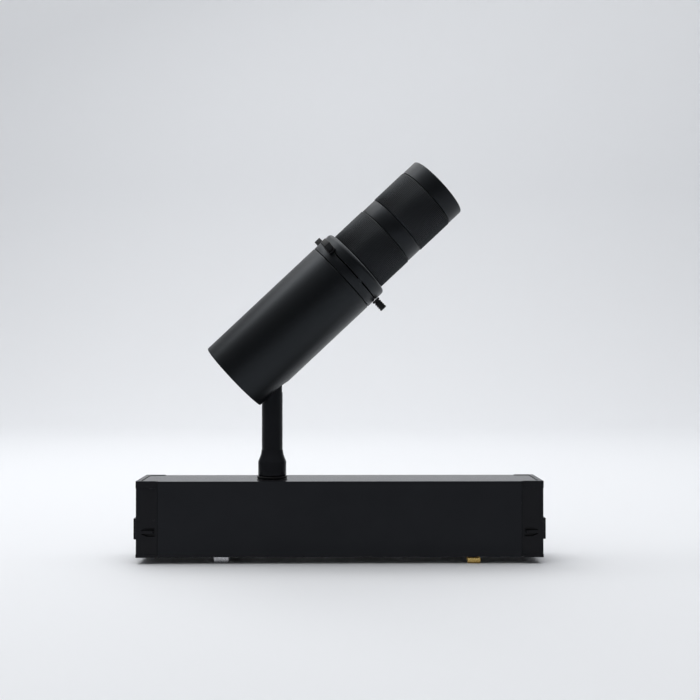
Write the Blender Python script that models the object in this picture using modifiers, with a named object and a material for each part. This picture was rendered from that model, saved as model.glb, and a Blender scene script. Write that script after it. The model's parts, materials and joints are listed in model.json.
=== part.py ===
"""Track-mounted framing spotlight: a driver box, a swivelling stem and a tilting projector head.

The row frame has +X along the driver box, +Z up through the stem and +Y away from the front face.
Its origin is the centre of the box's flat underside.  All sizes below are in millimetres.
"""

import math

import bmesh
import bpy
from mathutils import Matrix, Vector

MM = 0.001

# Driver box
BOX_LENGTH = 240.0
BOX_WIDTH = 34.0
BOX_HEIGHT = 44.5
BOX_WALL = 1.6
CAP_LENGTH = 12.4
CAP_WALL = 2.2
LIP_PROUD = 0.25
TOP_LIP_HEIGHT = 4.0
BOTTOM_LIP_HEIGHT = 1.6
PLUG_LENGTH = 6.0
END_PLATE = 2.8
ROOF_WIDTH = 30.4
FEET_DROP = 4.0
GAP = 0.3

# Detent finger in each side wall of an end cap
FINGER_OUTER = 3.0
FINGER_INNER = 11.0
FINGER_MIDDLE_Z = 14.75
FINGER_HEIGHT = 2.0
FINGER_SLOT = 1.6
FINGER_TAPER = 3.5
FINGER_END_SLOT = 0.9

# Release tab in each end cap
TAB_PROUD = 2.5
TAB_TRAVEL = 1.2
TAB_HEIGHT = 12.6
TAB_WIDTH = 23.2
TAB_MIDDLE_Z = 15.8
TAB_FLANGE = 1.5
TAB_FLANGE_THICK = 1.6

# Track contacts and magnets under the box
MAGNET_X = -70.3
MAGNET_SIZE = (9.0, 7.0, 7.6)
MAGNET_Y = 9.5
CONTACT_X = 79.0
CONTACT_WIDTH = 7.6
CONTACT_THICK = 0.8

# Stem and swivel
STEM_X = -41.0
STEM_RADIUS = 6.25
STEM_BORE = 3.6
COLLAR_RADIUS = 8.3
COLLAR_TOP = 54.6
CONE_TOP = 61.7
WASHER_RADIUS = 9.1
WASHER_THICK = 1.2
SPIGOT_RADIUS = 5.1
SOCKET_FLOOR = 3.9
PIVOT_Z = 103.34
FORK_HALF = 2.3
FORK_DEPTH = 7.0
PIN_RADIUS = 2.0
PIN_HALF = 5.8
EAR_HALF = 1.5
EAR_RADIUS = 4.8
EAR_REACH = 6.7
HINGE_WASHER_HALF = 0.3
SCREW_STATION = 8.8
SCREW_SPREAD = 4.5

# Projector head: stations are distances along the optical axis, counted from the tilt pivot
HEAD_ELEVATION = 43.2
AXIS_ABOVE_PIVOT = 17.0
HOUSING_RADIUS = 23.8
HOUSING_WALL = 1.6
REAR_STATION = -15.1
HOUSING_FRONT = 73.0
SLOT_HALF = 6.75
NOTCH_TOP = -9.9
GATE_RING_FRONT = 78.6
COVER_REAR = 79.4
COVER_FRONT = 86.6
COVER_RADIUS = 23.75
COVER_FILLET = 2.2

# Framing shutters
SHUTTER_ANGLES = (-31.0, 50.0, 178.0, 250.0)
SECTOR_CENTRES = (-20.0, 70.0, 160.0, 250.0)
BLADE_THICK = 0.12
BLADE_PITCH = 0.19
BLADE_HALF = 12.0
BLADE_EDGE = 2.5
BLADE_TRAVEL = 8.5
BLADE_SWEEP = 20.8
NECK_HALF = 2.0
HANDLE_START = 24.1
HANDLE_SIZE = (7.3, 5.5, 4.2)
HANDLE_FLANGE = (1.2, 0.3, 0.2)
APERTURE_RADIUS = 10.5

# Lens barrel
BARREL_RADIUS = 17.8
BARREL_BORE = 16.2
RING_BORE = 18.1
KNURL_RADIUS = 20.6
BAND_RADIUS = 20.3
BEZEL_RADIUS = 20.4
FOCUS_STATIONS = (86.9, 109.7)
BAND_STATIONS = (110.0, 119.5)
ZOOM_STATIONS = (119.8, 143.4)
BEZEL_STATIONS = (143.7, 153.8)
FOCUS_CENTRE = 98.0
ZOOM_CENTRE = 131.6
FOCUS_TRAVEL = 10.0
ZOOM_TRAVEL = 12.0
FOCUS_TURN = 150.0
ZOOM_TURN = 160.0
CAM_PIN_RADIUS = 1.2
CAM_PIN_ANGLE = 90.0
CARRIER_LENGTH = 9.0

# Reflector: an ellipse whose foci are the emitter and the shutter gate
EMITTER_STATION = 15.0
REFLECTOR_HALF_LENGTH = 36.0
REFLECTOR_THICK = 1.0

FINE_STEPS = 40
INNER_STEPS = 28
SMALL_STEPS = 20


def clear_scene():
    for old in list(bpy.data.objects):
        bpy.data.objects.remove(old, do_unlink=True)


def new_collection(name):
    made = bpy.data.collections.new(name)
    bpy.context.scene.collection.children.link(made)
    return made


def material(name, colour, roughness, metallic=0.0, transmission=0.0):
    made = bpy.data.materials.new(name)
    made.use_nodes = True
    shader = made.node_tree.nodes["Principled BSDF"]
    shader.inputs["Base Color"].default_value = (*colour, 1.0)
    shader.inputs["Roughness"].default_value = roughness
    shader.inputs["Metallic"].default_value = metallic
    shader.inputs["Transmission Weight"].default_value = transmission
    made.diffuse_color = (*colour, 1.0)
    return made


clear_scene()
PARTS = new_collection("framing_spotlight")
CUTTERS = new_collection("cutters")


def empty(name, parent=None, location=(0, 0, 0), matrix=None):
    """A joint frame: an empty standing on a joint's axis."""
    made = bpy.data.objects.new(name, None)
    PARTS.objects.link(made)
    made.parent = parent
    turn = matrix if matrix is not None else Matrix.Identity(4)
    made.matrix_local = Matrix.Translation(Vector(location) * MM) @ turn
    return made


def add_object(name, mesh, parent, finish):
    """Link a mesh as a part, or as a cutter when it has no finish."""
    made = bpy.data.objects.new(name, mesh)
    made.parent = parent
    if finish is None:
        CUTTERS.objects.link(made)
        made.hide_render = True
        made.display_type = "WIRE"
    else:
        PARTS.objects.link(made)
        mesh.materials.append(finish)
    return made


def to_mesh(name, bm):
    """A mesh in metres from a bmesh in millimetres."""
    bmesh.ops.scale(bm, vec=(MM, MM, MM), verts=bm.verts)
    made = bpy.data.meshes.new(name)
    bm.to_mesh(made)
    bm.free()
    return made


def shade(mesh):
    mesh.shade_smooth()
    mesh.set_sharp_from_angle(angle=math.radians(35))


def box(name, low, high, parent=None, finish=None, bevel=0.0):
    """A block between two corners, with rounded edges if a bevel is given."""
    bm = bmesh.new()
    bmesh.ops.create_cube(bm, size=1.0)
    size = [b - a for a, b in zip(low, high)]
    middle = [(a + b) / 2 for a, b in zip(low, high)]
    bmesh.ops.scale(bm, vec=size, verts=bm.verts)
    if bevel:
        bmesh.ops.bevel(bm, geom=bm.edges[:], offset=bevel, segments=2, profile=0.5, affect="EDGES")
    bmesh.ops.translate(bm, vec=middle, verts=bm.verts)
    made = add_object(name, to_mesh(name, bm), parent, finish)
    shade(made.data)
    return made


def rod(name, radius, start, end, parent=None, finish=None, steps=SMALL_STEPS):
    """A cylinder between two points."""
    bm = bmesh.new()
    run = Vector(end) - Vector(start)
    bmesh.ops.create_cone(bm, cap_ends=True, segments=steps, radius1=radius, radius2=radius, depth=run.length)
    turn = Vector((0, 0, 1)).rotation_difference(run).to_matrix()
    bmesh.ops.rotate(bm, cent=(0, 0, 0), matrix=turn, verts=bm.verts)
    bmesh.ops.translate(bm, vec=(Vector(start) + Vector(end)) / 2, verts=bm.verts)
    made = add_object(name, to_mesh(name, bm), parent, finish)
    shade(made.data)
    return made


def evaluated_mesh(obj):
    bpy.context.view_layer.update()
    depsgraph = bpy.context.evaluated_depsgraph_get()
    return bpy.data.meshes.new_from_object(obj.evaluated_get(depsgraph))


def turned(name, profile, parent=None, finish=None, steps=FINE_STEPS):
    """Spin a profile of (radius, height) points about Z.

    The profile runs down the outer side.  It ends on the axis, or goes back up an inner side.
    """
    closed = profile[0][0] > 0
    bm = bmesh.new()
    verts = [bm.verts.new((radius, 0, height)) for radius, height in profile]
    for first, second in zip(verts, verts[1:]):
        bm.edges.new((first, second))
    if closed:
        bm.edges.new((verts[-1], verts[0]))
    made = add_object(name, to_mesh(name, bm), parent, finish)
    screw = made.modifiers.new("spin", "SCREW")
    screw.steps = steps
    screw.render_steps = steps
    screw.use_merge_vertices = True
    screw.merge_threshold = 1e-6
    wire = made.data
    made.data = evaluated_mesh(made)
    made.data.name = name
    made.modifiers.clear()
    bpy.data.meshes.remove(wire)
    shade(made.data)
    return made


def ring(name, outer, inner, low, high, parent=None, finish=None, steps=FINE_STEPS):
    """A plain hollow ring."""
    outline = [(outer, high), (outer, low), (inner, low), (inner, high)]
    return turned(name, outline, parent, finish, steps)


def plate(name, outline, thickness, parent=None, finish=None, matrix=None):
    """A flat outline made thick: the outline lies in XY and its thickness is centred on it."""
    curve = bpy.data.curves.new(name, "CURVE")
    curve.dimensions = "2D"
    curve.fill_mode = "BOTH"
    curve.extrude = thickness * MM / 2
    spline = curve.splines.new("POLY")
    spline.points.add(len(outline) - 1)
    for point, (x, y) in zip(spline.points, outline):
        point.co = (x * MM, y * MM, 0.0, 1.0)
    spline.use_cyclic_u = True
    drawn = bpy.data.objects.new(name + "_outline", curve)
    CUTTERS.objects.link(drawn)
    mesh = evaluated_mesh(drawn)
    bpy.data.objects.remove(drawn)
    bm = bmesh.new()
    bm.from_mesh(mesh)
    bmesh.ops.remove_doubles(bm, verts=bm.verts, dist=1e-7)
    bmesh.ops.recalc_face_normals(bm, faces=bm.faces)
    if matrix is not None:
        moved = Matrix.Translation(matrix.translation * MM) @ matrix.to_3x3().to_4x4()
        bmesh.ops.transform(bm, matrix=moved, verts=bm.verts)
    bm.to_mesh(mesh)
    bm.free()
    mesh.name = name
    mesh.materials.clear()
    made = add_object(name, mesh, parent, finish)
    shade(made.data)
    return made


def arc(cx, cy, radius, start, end, steps):
    """Points on an arc, with both ends, angles in degrees."""
    angles = [math.radians(start + (end - start) * i / steps) for i in range(steps + 1)]
    return [(cx + radius * math.cos(a), cy + radius * math.sin(a)) for a in angles]


def combine(obj, other, operation):
    """Live Boolean on obj: DIFFERENCE cuts, UNION joins."""
    change = obj.modifiers.new(other.name, "BOOLEAN")
    change.object = other
    change.operation = operation
    change.solver = "EXACT"
    return obj


def cut(obj, *others):
    for other in others:
        combine(obj, other, "DIFFERENCE")
    return obj


def join(obj, *others):
    for other in others:
        combine(obj, other, "UNION")
    return obj


BLACK_COAT = material("black_coat", (0.016, 0.017, 0.020), 0.42, 0.55)
BLACK_PLASTIC = material("black_plastic", (0.018, 0.018, 0.020), 0.55)
BLACK_STEEL = material("black_steel", (0.012, 0.012, 0.014), 0.45, 0.8)
NICKEL = material("nickel", (0.72, 0.72, 0.74), 0.25, 1.0)
BRASS = material("brass", (0.78, 0.57, 0.22), 0.28, 1.0)
ALUMINIUM = material("aluminium", (0.62, 0.63, 0.65), 0.38, 1.0)
STEEL = material("steel", (0.52, 0.53, 0.55), 0.35, 1.0)
BOARD_GREEN = material("board_green", (0.02, 0.16, 0.07), 0.5)
WINDING = material("winding", (0.55, 0.42, 0.10), 0.5)
WHITE_PLASTIC = material("white_plastic", (0.82, 0.82, 0.80), 0.45)
PHOSPHOR = material("phosphor", (0.92, 0.72, 0.16), 0.5)
MIRROR = material("mirror", (0.90, 0.90, 0.92), 0.05, 1.0)
GLASS = material("glass", (0.95, 0.97, 0.98), 0.02, 0.0, 1.0)

PAN_AXIS = empty("pan_axis", None, (STEM_X, 0, BOX_HEIGHT))
HEAD_TURN = Matrix.Rotation(math.radians(90 - HEAD_ELEVATION), 4, "Y") @ Matrix.Rotation(math.pi, 4, "Z")
TILT_AXIS = empty("tilt_axis", PAN_AXIS, (0, 0, PIVOT_Z - BOX_HEIGHT), HEAD_TURN)
OPTICAL_AXIS = empty("optical_axis", TILT_AXIS, (AXIS_ABOVE_PIVOT, 0, 0))


# ---------------------------------------------------------------- driver box

def driver_housing():
    """An upside-down U channel whose roof runs on over the end caps, with the swivel hole in it."""
    half = BOX_LENGTH / 2 - CAP_LENGTH - GAP
    reach = BOX_LENGTH / 2 - END_PLATE - GAP
    side = BOX_WIDTH / 2
    shell = box("driver_housing", (-reach, -side, 0), (reach, side, BOX_HEIGHT), None, BLACK_COAT)
    room = side - BOX_WALL
    hollow = box("housing_hollow", (-reach - 1, -room, -1), (reach + 1, room, BOX_HEIGHT - BOX_WALL))
    hole = rod("swivel_hole", SPIGOT_RADIUS + GAP, (STEM_X, 0, BOX_HEIGHT - 5), (STEM_X, 0, BOX_HEIGHT + 1))
    cut(shell, hollow, hole)
    for end in (-1, 1):
        xs = sorted((end * half, end * (reach + 1)))
        for face in (-1, 1):
            ys = sorted((face * ROOF_WIDTH / 2, face * (side + 1)))
            cutter = box(f"roof_step_{end}{face}", (xs[0], ys[0], -1), (xs[1], ys[1], BOX_HEIGHT + 1))
            cut(shell, cutter)
    return shell


def base_cover():
    """The plate that closes the channel, with board posts, magnet pockets and contact slots."""
    half = BOX_LENGTH / 2 - CAP_LENGTH - PLUG_LENGTH - 2 * GAP
    side = BOX_WIDTH / 2 - BOX_WALL - GAP
    cover = box("base_cover", (-half, -side, 0), (half, side, 1.8), None, BLACK_PLASTIC)
    for i, x in enumerate((-22.0, 58.0)):
        for j, y in enumerate((-11.0, 11.0)):
            join(cover, rod(f"board_post_{i}{j}", 2.0, (x, y, 1.0), (x, y, 13.7), steps=16))
    tray = box("magnet_tray", (MAGNET_X - 8, -14.5, 1.0), (MAGNET_X + 8, 14.5, 6.0))
    join(cover, tray)
    length, depth, _ = MAGNET_SIZE
    for sign in (-1, 1):
        middle = sign * MAGNET_Y
        low = (MAGNET_X - length / 2 - GAP, middle - depth / 2 - GAP, -1)
        high = (MAGNET_X + length / 2 + GAP, middle + depth / 2 + GAP, MAGNET_SIZE[2] - FEET_DROP + GAP)
        cut(cover, box(f"magnet_pocket_{sign}", low, high))
        reach = sorted((sign * 12.2, sign * 16.0))
        low = (CONTACT_X - CONTACT_WIDTH / 2 - GAP, reach[0], -1)
        high = (CONTACT_X + CONTACT_WIDTH / 2 + GAP, reach[1], 3)
        cut(cover, box(f"contact_slot_{sign}", low, high))
    return cover


def magnets():
    length, depth, height = MAGNET_SIZE
    for name, sign in (("magnet_front", -1), ("magnet_rear", 1)):
        low = (MAGNET_X - length / 2, sign * MAGNET_Y - depth / 2, -FEET_DROP)
        high = (MAGNET_X + length / 2, sign * MAGNET_Y + depth / 2, height - FEET_DROP)
        box(name, low, high, None, NICKEL, bevel=0.35)


def contacts():
    """Two sprung leaves that hook outwards under the side walls, and the block that holds them."""
    inner_y, outer_y = 12.5, 16.8
    radius = (outer_y - inner_y) / 2
    middle = (outer_y + inner_y) / 2
    bend_z = radius - FEET_DROP
    hook = arc(middle, bend_z, radius, 180, 360, 10)
    back = arc(middle, bend_z, radius - CONTACT_THICK, 360, 180, 10)
    tip_z = -0.7
    outline = [(inner_y, 11.0)] + hook + [(outer_y, tip_z), (outer_y - CONTACT_THICK, tip_z)] + back
    outline.append((inner_y + CONTACT_THICK, 11.0))
    for name, sign in (("contact_front", -1), ("contact_rear", 1)):
        flipped = [(sign * y, z) for y, z in outline]
        upright = Matrix(((0, 0, 1), (1, 0, 0), (0, 1, 0))).to_4x4()
        upright.translation = (CONTACT_X, 0, 0)
        plate(name, flipped, CONTACT_WIDTH, None, BRASS, upright)
    low, high = (CONTACT_X - 9, -12.2, 2.1), (CONTACT_X + 9, 12.2, 12.5)
    box("contact_block", low, high, None, WHITE_PLASTIC, bevel=0.4)


def driver_electronics():
    """The constant-current driver: board, transformer, capacitor and choke."""
    board_low, board_high = 14.0, 15.6
    box("driver_board", (-28, -14.6, board_low), (98, 14.6, board_high), None, BOARD_GREEN)
    top = board_high + GAP
    box("transformer", (24, -10, top), (46, 10, top + 17), None, WINDING, bevel=0.8)
    rod("capacitor", 6.5, (64, 0, top), (64, 0, top + 21), None, BLACK_PLASTIC)
    choke_middle = top + 5.0
    choke = ring("choke", 8.0, 3.6, choke_middle - 5, choke_middle + 5, None, WINDING, SMALL_STEPS)
    choke.location.x = 0.0


def finger_cutter(side, sign):
    """A U-shaped slot, pointed at its open end, that frees a detent finger in a cap's side wall."""
    end = BOX_LENGTH / 2
    wall_middle = sign * (BOX_WIDTH / 2 - CAP_WALL / 2)
    near = FINGER_HEIGHT / 2
    far = near + FINGER_SLOT
    half_u = [
        (end - FINGER_OUTER, near),
        (end - FINGER_OUTER - FINGER_TAPER, far),
        (end - FINGER_INNER, far),
    ]
    free_end = end - FINGER_INNER + FINGER_END_SLOT
    outline = half_u + [(x, -z) for x, z in reversed(half_u)] + [(free_end, -near), (free_end, near)]
    outline = [(side * x, FINGER_MIDDLE_Z + z) for x, z in outline]
    facing = Matrix.Rotation(math.radians(90), 4, "X")
    facing.translation = (0, wall_middle, 0)
    return plate(f"finger_cutter_{side}{sign}", outline, 3 * CAP_WALL, matrix=facing)


def end_cap(name, side):
    """A hollow plastic cap with a plug into the channel, proud lips and two detent fingers."""
    end = BOX_LENGTH / 2
    half = BOX_WIDTH / 2
    seam = end - CAP_LENGTH

    def span(near, far):
        return sorted((side * near, side * far))

    xs = span(seam, end)
    cap = box(name, (xs[0], -half, 0), (xs[1], half, BOX_HEIGHT), None, BLACK_PLASTIC)
    proud = half + LIP_PROUD
    top_z = BOX_HEIGHT - TOP_LIP_HEIGHT
    xs = span(seam + 0.6, end + 0.1)
    join(cap, box(f"top_lip_{side}", (xs[0], -proud, top_z), (xs[1], proud, BOX_HEIGHT + LIP_PROUD)))
    join(cap, box(f"bottom_lip_{side}", (xs[0], -proud, -LIP_PROUD), (xs[1], proud, BOTTOM_LIP_HEIGHT)))
    plug = half - BOX_WALL - GAP
    xs = span(seam - PLUG_LENGTH, seam + 1)
    join(cap, box(f"plug_{side}", (xs[0], -plug, 0.4), (xs[1], plug, BOX_HEIGHT - BOX_WALL - 2 * GAP)))
    xs = span(seam - PLUG_LENGTH - 1, end - CAP_WALL)
    room = plug - 1.4
    cut(cap, box(f"cap_hollow_{side}", (xs[0], -room, CAP_WALL), (xs[1], room, BOX_HEIGHT - BOX_WALL - 2)))
    xs = span(seam - 1, end - END_PLATE)
    wide = ROOF_WIDTH / 2 + GAP
    low = (xs[0], -wide, BOX_HEIGHT - BOX_WALL - GAP)
    cut(cap, box(f"roof_pocket_{side}", low, (xs[1], wide, BOX_HEIGHT + 1)))
    free_end = end - FINGER_INNER + FINGER_END_SLOT
    for sign in (-1, 1):
        cut(cap, finger_cutter(side, sign))
        bump_x = span(free_end + 0.1, free_end + 1.3)
        bump_y = sorted((sign * (half - 0.5), sign * (half + 0.5)))
        tall = FINGER_HEIGHT / 2 - 0.2
        low = (bump_x[0], bump_y[0], FINGER_MIDDLE_Z - tall)
        join(cap, box(f"detent_bump_{side}{sign}", low, (bump_x[1], bump_y[1], FINGER_MIDDLE_Z + tall)))
    tall = TAB_HEIGHT / 2 + GAP
    wide = TAB_WIDTH / 2 + GAP
    xs = span(end - CAP_WALL - 1, end + 1)
    low = (xs[0], -wide, TAB_MIDDLE_Z - tall)
    cut(cap, box(f"tab_window_{side}", low, (xs[1], wide, TAB_MIDDLE_Z + tall)))
    return cap


def release_tab(name, side):
    """A push tab that shows through the end wall and is held in by a flange behind it."""
    end = BOX_LENGTH / 2
    tall = TAB_HEIGHT / 2
    wide = TAB_WIDTH / 2
    inside = end - CAP_WALL - GAP
    xs = sorted((side * (inside - TAB_FLANGE_THICK / 2), side * (end + TAB_PROUD)))
    low = (xs[0], -wide, TAB_MIDDLE_Z - tall)
    tab = box(name, low, (xs[1], wide, TAB_MIDDLE_Z + tall), None, BLACK_PLASTIC, bevel=0.5)
    tall += TAB_FLANGE
    wide += TAB_FLANGE
    xs = sorted((side * (inside - TAB_FLANGE_THICK), side * inside))
    low = (xs[0], -wide, TAB_MIDDLE_Z - tall)
    join(tab, box(f"tab_flange_{side}", low, (xs[1], wide, TAB_MIDDLE_Z + tall)))
    return tab


def tab_spring(name, side):
    """A coil behind the release tab, at its pressed length."""
    wire = 0.4
    outer_x = BOX_LENGTH / 2 - CAP_WALL - GAP - TAB_FLANGE_THICK - TAB_TRAVEL - GAP - wire
    turns, length, radius = 3, 7.0, 3.2
    count = turns * 8
    curve = bpy.data.curves.new(name, "CURVE")
    curve.dimensions = "3D"
    curve.bevel_depth = wire * MM
    curve.bevel_resolution = 2
    curve.use_fill_caps = True
    spline = curve.splines.new("POLY")
    spline.points.add(count)
    for i, point in enumerate(spline.points):
        angle = 2 * math.pi * turns * i / count
        x = side * (outer_x - length * i / count)
        y = radius * math.cos(angle)
        z = TAB_MIDDLE_Z + radius * math.sin(angle)
        point.co = (x * MM, y * MM, z * MM, 1.0)
    made = bpy.data.objects.new(name, curve)
    PARTS.objects.link(made)
    curve.materials.append(STEEL)
    return made


# ---------------------------------------------------------------- stem and swivel

def swivel():
    """Collar with its spigot through the box, the washer under it and the nut inside."""
    hole = SPIGOT_RADIUS + GAP
    washer_low, washer_high = GAP, GAP + WASHER_THICK
    stations = (washer_low, washer_high)
    ring("friction_washer", WASHER_RADIUS, hole, *stations, PAN_AXIS, BLACK_PLASTIC, INNER_STEPS)
    seat = washer_high + GAP
    spigot_end = -7.0
    wire_way = STEM_BORE - 0.4
    cone_low, cone_high = COLLAR_TOP - BOX_HEIGHT, CONE_TOP - BOX_HEIGHT
    bore = STEM_RADIUS + 0.1
    lip = bore + 0.25
    outline = [
        (lip, cone_high),
        (lip + 0.1, cone_high - 1.5),
        (lip + 0.6, cone_high - 3.3),
        (COLLAR_RADIUS, cone_low),
        (COLLAR_RADIUS, seat + 0.4),
        (COLLAR_RADIUS - 0.4, seat),
        (SPIGOT_RADIUS, seat),
        (SPIGOT_RADIUS, spigot_end),
        (wire_way, spigot_end),
        (wire_way, SOCKET_FLOOR),
        (bore, SOCKET_FLOOR),
        (bore, cone_high),
    ]
    turned("swivel_collar", outline, PAN_AXIS, BLACK_COAT, INNER_STEPS)
    nut_low, nut_high = spigot_end + 0.6, -BOX_WALL - 0.6
    nut = rod("lock_nut", 8.2, (0, 0, nut_low), (0, 0, nut_high), PAN_AXIS, STEEL, 6)
    cut(nut, rod("nut_bore", SPIGOT_RADIUS + 0.1, (0, 0, nut_low - 1), (0, 0, nut_high + 1), PAN_AXIS))


def stem():
    """A hollow post whose rounded top is slit into a fork for the head's ear."""
    low = SOCKET_FLOOR + GAP
    pivot = PIVOT_Z - BOX_HEIGHT
    crown = list(reversed(arc(0, pivot, STEM_RADIUS, 0, 80, 6)))
    outline = [(0, pivot + STEM_RADIUS)] + crown + [(STEM_RADIUS, low), (0, low)]
    post = turned("stem", outline, PAN_AXIS, BLACK_COAT, INNER_STEPS)
    beyond = STEM_RADIUS + 1
    fork_floor = pivot - FORK_DEPTH
    slit = box("fork_slit", (-beyond, -FORK_HALF, fork_floor), (beyond, FORK_HALF, pivot + beyond), PAN_AXIS)
    bore_top = fork_floor - 3.0
    bore = rod("stem_bore", STEM_BORE, (0, 0, low - 1), (0, 0, bore_top), PAN_AXIS)
    exit_z = bore_top - 2.5
    wire_exit = rod("wire_exit", 2.2, (0, 0, exit_z), (0, beyond, exit_z), PAN_AXIS, steps=16)
    pin_bore = rod("pin_bore", PIN_RADIUS + 0.05, (0, -beyond, pivot), (0, beyond, pivot), PAN_AXIS)
    cut(post, slit, bore, wire_exit, pin_bore)


def tilt_hinge():
    """The head's bracket with its single ear, and the pin, washers and screws, in the pivot's own frame."""
    root_low, root_high = EAR_REACH, EAR_REACH + 1.0
    bracket = box("tilt_bracket", (root_low, -8, -5.5), (root_high, 8, 11.9), TILT_AXIS, STEEL)
    web = box("ear_web", (0, -EAR_HALF, -EAR_RADIUS), (root_low + 0.5, EAR_HALF, EAR_RADIUS), TILT_AXIS)
    join(bracket, web, rod("ear_eye", EAR_RADIUS, (0, -EAR_HALF, 0), (0, EAR_HALF, 0), TILT_AXIS))
    cut(bracket, rod("ear_bore", PIN_RADIUS + 0.05, (0, -9, 0), (0, 9, 0), TILT_AXIS))
    rod("tilt_pin", PIN_RADIUS, (0, -PIN_HALF, 0), (0, PIN_HALF, 0), TILT_AXIS, STEEL)
    thick = HINGE_WASHER_HALF
    for name, sign in (("tilt_washer_front", 1), ("tilt_washer_rear", -1)):
        washer = ring(name, 4.4, PIN_RADIUS + 0.05, -thick, thick, TILT_AXIS, WHITE_PLASTIC, SMALL_STEPS)
        washer.rotation_euler.x = math.radians(90)
        washer.location.y = sign * (EAR_HALF + FORK_HALF) / 2 * MM
    head_low, head_high = root_low - 1.4, root_low - 0.1
    for name, y in (("bracket_screw_1", -SCREW_SPREAD), ("bracket_screw_2", SCREW_SPREAD)):
        place = (y, SCREW_STATION)
        cut(bracket, rod(name + "_hole", 1.3, (root_low - 1, *place), (root_high + 1, *place), TILT_AXIS))
        screw = rod(name, 2.1, (head_low, *place), (head_high, *place), TILT_AXIS, STEEL, 16)
        ends = (root_low - 0.5, *place), (root_high + 4, *place)
        join(screw, rod(name + "_shank", 1.1, *ends, TILT_AXIS, steps=16))


# ---------------------------------------------------------------- head

def housing_tube():
    inner = HOUSING_RADIUS - HOUSING_WALL
    outline = [
        (HOUSING_RADIUS, HOUSING_FRONT),
        (HOUSING_RADIUS, REAR_STATION + 0.8),
        (HOUSING_RADIUS - 0.8, REAR_STATION),
        (inner, REAR_STATION),
        (inner, HOUSING_FRONT),
    ]
    tube = turned("housing_tube", outline, OPTICAL_AXIS, BLACK_COAT)
    low = (-HOUSING_RADIUS - 1, -SLOT_HALF, REAR_STATION - 1)
    slot = box("stem_slot", low, (NOTCH_TOP, SLOT_HALF, 0), OPTICAL_AXIS)
    ends = (-HOUSING_RADIUS - 1, 0, 0), (NOTCH_TOP, 0, 0)
    return cut(tube, slot, rod("stem_slot_end", SLOT_HALF, *ends, OPTICAL_AXIS, steps=32))


def rear_cap():
    """The disc that closes the back, notched for the stem and slotted for air."""
    radius = HOUSING_RADIUS - HOUSING_WALL - GAP
    low = REAR_STATION + 0.2
    high = low + 2.0
    outline = [(0, high), (radius, high), (radius, low + 0.3), (radius - 0.3, low), (0, low)]
    cap = turned("rear_cap", outline, OPTICAL_AXIS, BLACK_COAT)
    notch_low = (-HOUSING_RADIUS, -SLOT_HALF, low - 1)
    cut(cap, box("rear_notch", notch_low, (NOTCH_TOP, SLOT_HALF, high + 1), OPTICAL_AXIS))
    for i, x in enumerate((-2.0, 4.0, 10.0)):
        cut(cap, box(f"rear_vent_{i}", (x, -9, low - 1), (x + 1.8, 9, high + 1), OPTICAL_AXIS))
    return cap


def heatsink():
    """A finned aluminium slug with a flat for the tilt bracket and room for the stem."""
    radius = HOUSING_RADIUS - HOUSING_WALL - GAP
    rear, front, web = REAR_STATION + 2.8, 12.0, 6.0
    outline = [(0, front), (radius, front), (radius, rear), (0, rear)]
    slug = turned("heatsink", outline, OPTICAL_AXIS, ALUMINIUM)
    flat = AXIS_ABOVE_PIVOT - 26.0
    beyond = radius + 1
    cut(slug, box("bracket_flat", (-beyond, -beyond, rear - 1), (flat, beyond, front + 2), OPTICAL_AXIS))
    pad = flat + 2.6
    for i in range(6):
        y = -15.0 + i * 5.4
        cut(slug, box(f"fin_gap_{i}", (pad, y, rear - 1), (beyond, y + 3.0, web), OPTICAL_AXIS))
    for i, y in enumerate((-SCREW_SPREAD, SCREW_SPREAD)):
        place = (y, SCREW_STATION)
        cut(slug, rod(f"screw_way_{i}", 1.3, (flat - 1, *place), (flat + 5, *place), OPTICAL_AXIS, steps=16))
    return slug


def light_engine():
    """LED board, emitter, holder and the reflector that throws to the gate."""
    front = 12.0
    turned(
        "led_board",
        [(0, front + 1.8), (12, front + 1.8), (12, front + GAP), (0, front + GAP)],
        OPTICAL_AXIS,
        WHITE_PLASTIC,
        INNER_STEPS,
    )
    emitter_low = front + 1.8 + GAP
    turned(
        "led_emitter",
        [(0, EMITTER_STATION), (7, EMITTER_STATION), (7, emitter_low), (0, emitter_low)],
        OPTICAL_AXIS,
        PHOSPHOR,
        INNER_STEPS,
    )
    ring("led_holder", 17.0, 8.0, emitter_low, 18.0, OPTICAL_AXIS, WHITE_PLASTIC, INNER_STEPS)
    gate = (GATE_RING_FRONT + COVER_REAR) / 2
    middle = (EMITTER_STATION + gate) / 2
    focus = (gate - EMITTER_STATION) / 2
    radius = math.sqrt(REFLECTOR_HALF_LENGTH**2 - focus**2)
    stations = [18.0 + GAP + (middle - 18.0 - GAP) * i / 6 for i in range(7)]
    inside = [(radius * math.sqrt(1 - ((z - middle) / REFLECTOR_HALF_LENGTH) ** 2), z) for z in stations]
    outside = [(r + REFLECTOR_THICK, z) for r, z in reversed(inside[:-1])]
    rim = HOUSING_RADIUS - HOUSING_WALL - GAP
    flange = [(rim, middle), (rim, middle - 1.2), (radius + REFLECTOR_THICK, middle - 1.2)]
    turned("reflector", flange + outside + inside, OPTICAL_AXIS, MIRROR, INNER_STEPS)


def lens_outline(radius, low, edge, bulge, steps=4):
    """Plano-convex lens profile: a flat back at low, a cylindrical edge and a bulging front."""
    top = low + edge + bulge
    sphere = (radius**2 + bulge**2) / (2 * bulge)
    outline = []
    for i in range(steps + 1):
        r = radius * i / steps
        outline.append((r, top - sphere + math.sqrt(sphere**2 - r**2)))
    return outline + [(radius, low), (0, low)]


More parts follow.
